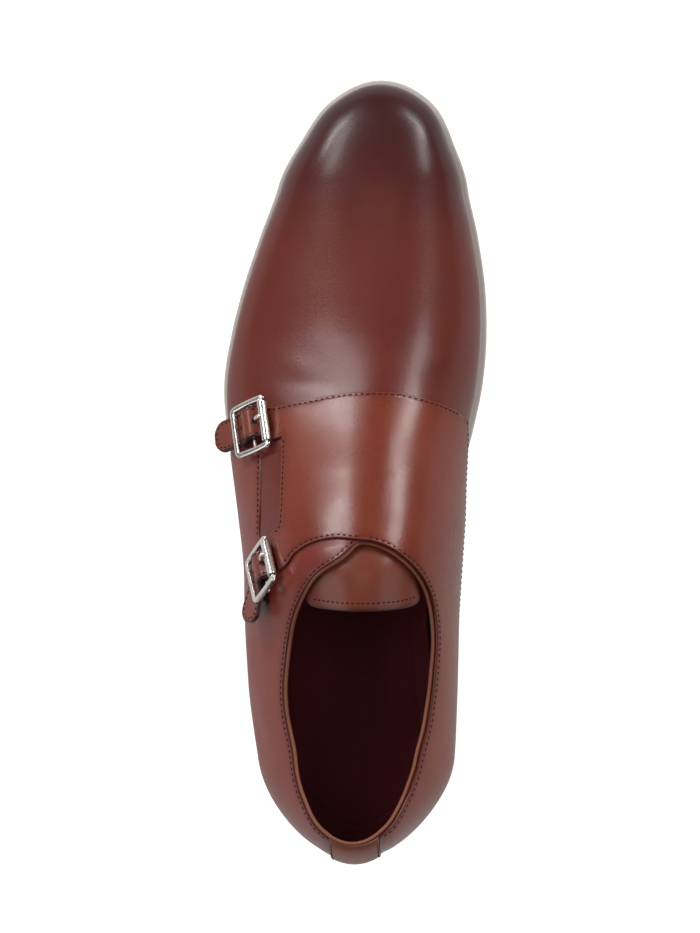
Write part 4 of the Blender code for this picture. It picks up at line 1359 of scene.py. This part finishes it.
panelStitched = [
    panelFront, wingMedial, medialEdge[::-1], spotRun(panelLook["rear"][:5]), spotRun(panelLook["side"][1:5]),
]
quarterStitched = [lateralEdge, sideRun(quarterWing[2:], True)[::-1], spotRun(quarterSeam[:4])]
inset = seams["stitchInset"]
panelRows = [
    sewOnSkin("panelStitch", insideRun(panelSheet, run, inset), lambda chart: panelTop(chart) - 0.1)
    for run in panelStitched
]
upperRows = [
    sewOnSkin("quarterStitch", insideRun(quarterSheet, run, inset), lambda chart: quarterLook["top"] - 0.1)
    for run in quarterStitched
]
stripRise = riseOf(skinToChart(*collarSpot(collar[-1], True)))
stripSeam = stripLook["half"] - stripLook["groove"][0]
for offset in (-stripSeam, stripSeam):                             # both sides of the strip at the back
    run = heelRun(offset, 0.12, stripRise - 0.03)
    upperRows.append(sewOnSkin("stripStitch", run, lambda chart: stripLook["lift"] - 0.15))
tongueRun = insideRun(tongueSheet, spotRun(tongueLook["outline"][3:8]), tongueLook["groove"][0])
tongueRow = sewOnSkin("tongueStitch", tongueRun, lambda chart: tongueLook["top"] - 0.07)


def sewOnStrap(ribbon):              # one row round a strap, from edge to edge round the tip
    inset = strapSize["stitchInset"]
    straight = np.arange(0.4, ribbon.length - ribbon.tip, 0.3)
    tip = ribbon.tip - inset
    turn = np.linspace(0, np.pi, 60)[1:-1]
    width = ribbon.width / 2 - inset
    d = np.concatenate([straight, ribbon.length - ribbon.tip + tip * np.sin(turn), straight[::-1]])
    across = np.concatenate([np.full(len(straight), width), width * np.cos(turn), np.full(len(straight), -width)])
    points = ribbon.at(d, across, thread["lift"] - 0.1)
    run = runOf(points)
    at = np.linspace(0, run[-1], int(run[-1] / thread["pitch"]) + 1)
    ends = alongPath(at, run, points)
    up = ribbon.axes(np.interp((at[1:] + at[:-1]) / 2, run, d))[1] @ buckleAxes(ribbon.buckle)
    return stitchRow("strapStitch", (ends[1:] + ends[:-1]) / 2, unit(ends[1:] - ends[:-1]), up)


for name, ribbon in ribbons.items():
    node = "strap_end_" + name
    made[node] = joined(made[node].name, [made[node], sewOnStrap(ribbon)])
print("stitches ready")


# Camera, lights and floor

studio = {
    "camera": (-0.055, 0.0014, 1.8), "aim": (0.0, 0.0, 0.045), "lens": 178.0,
    "lights": {                      # place, size, power, and how far the long side turns from the shoe's length
        "vampOuter": ((0.56, -0.74, 0.8), (0.68, 0.24), 3.3, 0.28),
        "vampInner": ((-0.82, -0.8, 0.8), (0.62, 0.28), 3.4, 0.0),
        "backOuter": ((0.85, 0.4, 0.7), (1.3, 0.8), 4.8, 0.0),
        "backInner": ((-0.85, 0.4, 0.7), (1.3, 0.8), 3.5, 0.0),
        "instepOuter": ((0.88, -1.25, 0.74), (0.7, 0.15), 8.5, None),
        "instepInner": ((-0.80, -1.2, 0.66), (0.8, 0.15), 6.5, None),
    },
    "overhead": ((0.0, 0.0, 1.7), (0.9, 1.2), 1.8), "lightAim": (0, 0, 0.06),
    "roomLight": 0.09, "floor": 0.55, "floorGlow": (0.8, 1.0), "floorFade": (0.3, 1.1),
}


def addArea(name, at, aim, size, power, lean=None):
    light = bpy.data.lights.new(name, "AREA")
    light.shape = "RECTANGLE"
    light.size, light.size_y = size
    light.energy = power
    obj = bpy.data.objects.new(name, light)
    obj.location = at
    facing = Vector(aim) - Vector(at)
    obj.rotation_euler = facing.to_track_quat("-Z", "Y").to_euler()
    if lean is not None:
        facing.normalize()
        long = Vector((lean, 1, 0))
        long = (long - facing * facing.dot(long)).normalized()
        obj.rotation_euler = Matrix((long, long.cross(facing), -facing)).transposed().to_euler()
    obj.visible_camera = False
    scene.collection.objects.link(obj)


camera = bpy.data.objects.new("camera", bpy.data.cameras.new("camera"))
camera.data.lens = studio["lens"]
camera.data.clip_start, camera.data.clip_end = 0.05, 20
camera.location = studio["camera"]
sight = Vector(studio["aim"]) - Vector(studio["camera"])
forward = sight.normalized()
upward = Vector((0, -1, 0))
rightward = forward.cross(upward).normalized()
upward = rightward.cross(forward)
camera.rotation_euler = Matrix((rightward, upward, -forward)).transposed().to_euler()
scene.collection.objects.link(camera)
scene.camera = camera
for name, (at, size, power, lean) in studio["lights"].items():
    addArea(name + "Light", at, studio["lightAim"], size, power, lean)
at, size, power = studio["overhead"]
addArea("overheadLight", at, (0, 0, 0), size, power)
scene.view_settings.view_transform = "Standard"
world = bpy.data.worlds.new("room")
scene.world = world
world.use_nodes = True
room, roomLinks = world.node_tree.nodes, world.node_tree.links
seen = room.new("ShaderNodeLightPath")   # the backdrop is white, its light on the shoe dim
level = room.new("ShaderNodeMapRange")
level.inputs["To Min"].default_value, level.inputs["To Max"].default_value = studio["roomLight"], 1.0
roomLinks.new(seen.outputs["Is Camera Ray"], level.inputs["Value"])
roomLinks.new(level.outputs["Result"], room["Background"].inputs["Strength"])
room["Background"].inputs["Color"].default_value = (1, 1, 1, 1)
floorMesh = bpy.data.meshes.new("floor")
floorMesh.from_pydata([(-4, -4, 0), (4, -4, 0), (4, 4, 0), (-4, 4, 0)], [], [(0, 1, 2, 3)])
floor = bpy.data.objects.new("floor", floorMesh)
paper = Finish("paper")
distance = paper.node("ShaderNodeVectorMath", {"operation": "LENGTH"}, {0: paper.place()}, output=1)
near, far = studio["floorGlow"]
paper.set("Base Color", (studio["floor"],) * 3)
paper.set("Roughness", 0.95)
paper.set("Specular IOR Level", 0.1)
glow = paper.node("ShaderNodeLightPath") * 0.85 + 0.15            # full to the camera, dim on the shoe
fade = distance.smooth(*studio["floorFade"])
paper.set("Emission Color", paper.mix(glow, (0.0,) * 3, paper.mix(fade, (near,) * 3, (far,) * 3)))
paper.set("Emission Strength", 1.0)
floorMesh.materials.append(paper.material)
scene.collection.objects.link(floor)

upper = joined("upperLeather", [base, quarter, strip, *upperRows, folds])
panel = joined("strapPanel", [panel, *panelRows])
tongue = joined("tongueLeather", [tongue, tongueRow])
finishPiece(upper, "upper")
finishPiece(panel, "strap_panel")
finishPiece(tongue, "tongue")
finishPiece(insole, "insole")
finishPiece(midsole, "midsole")
finishPiece(outsole, "outsole")
finishPiece(heelBlock, "heel")
for node, obj in made.items():
    finishPiece(obj, node)
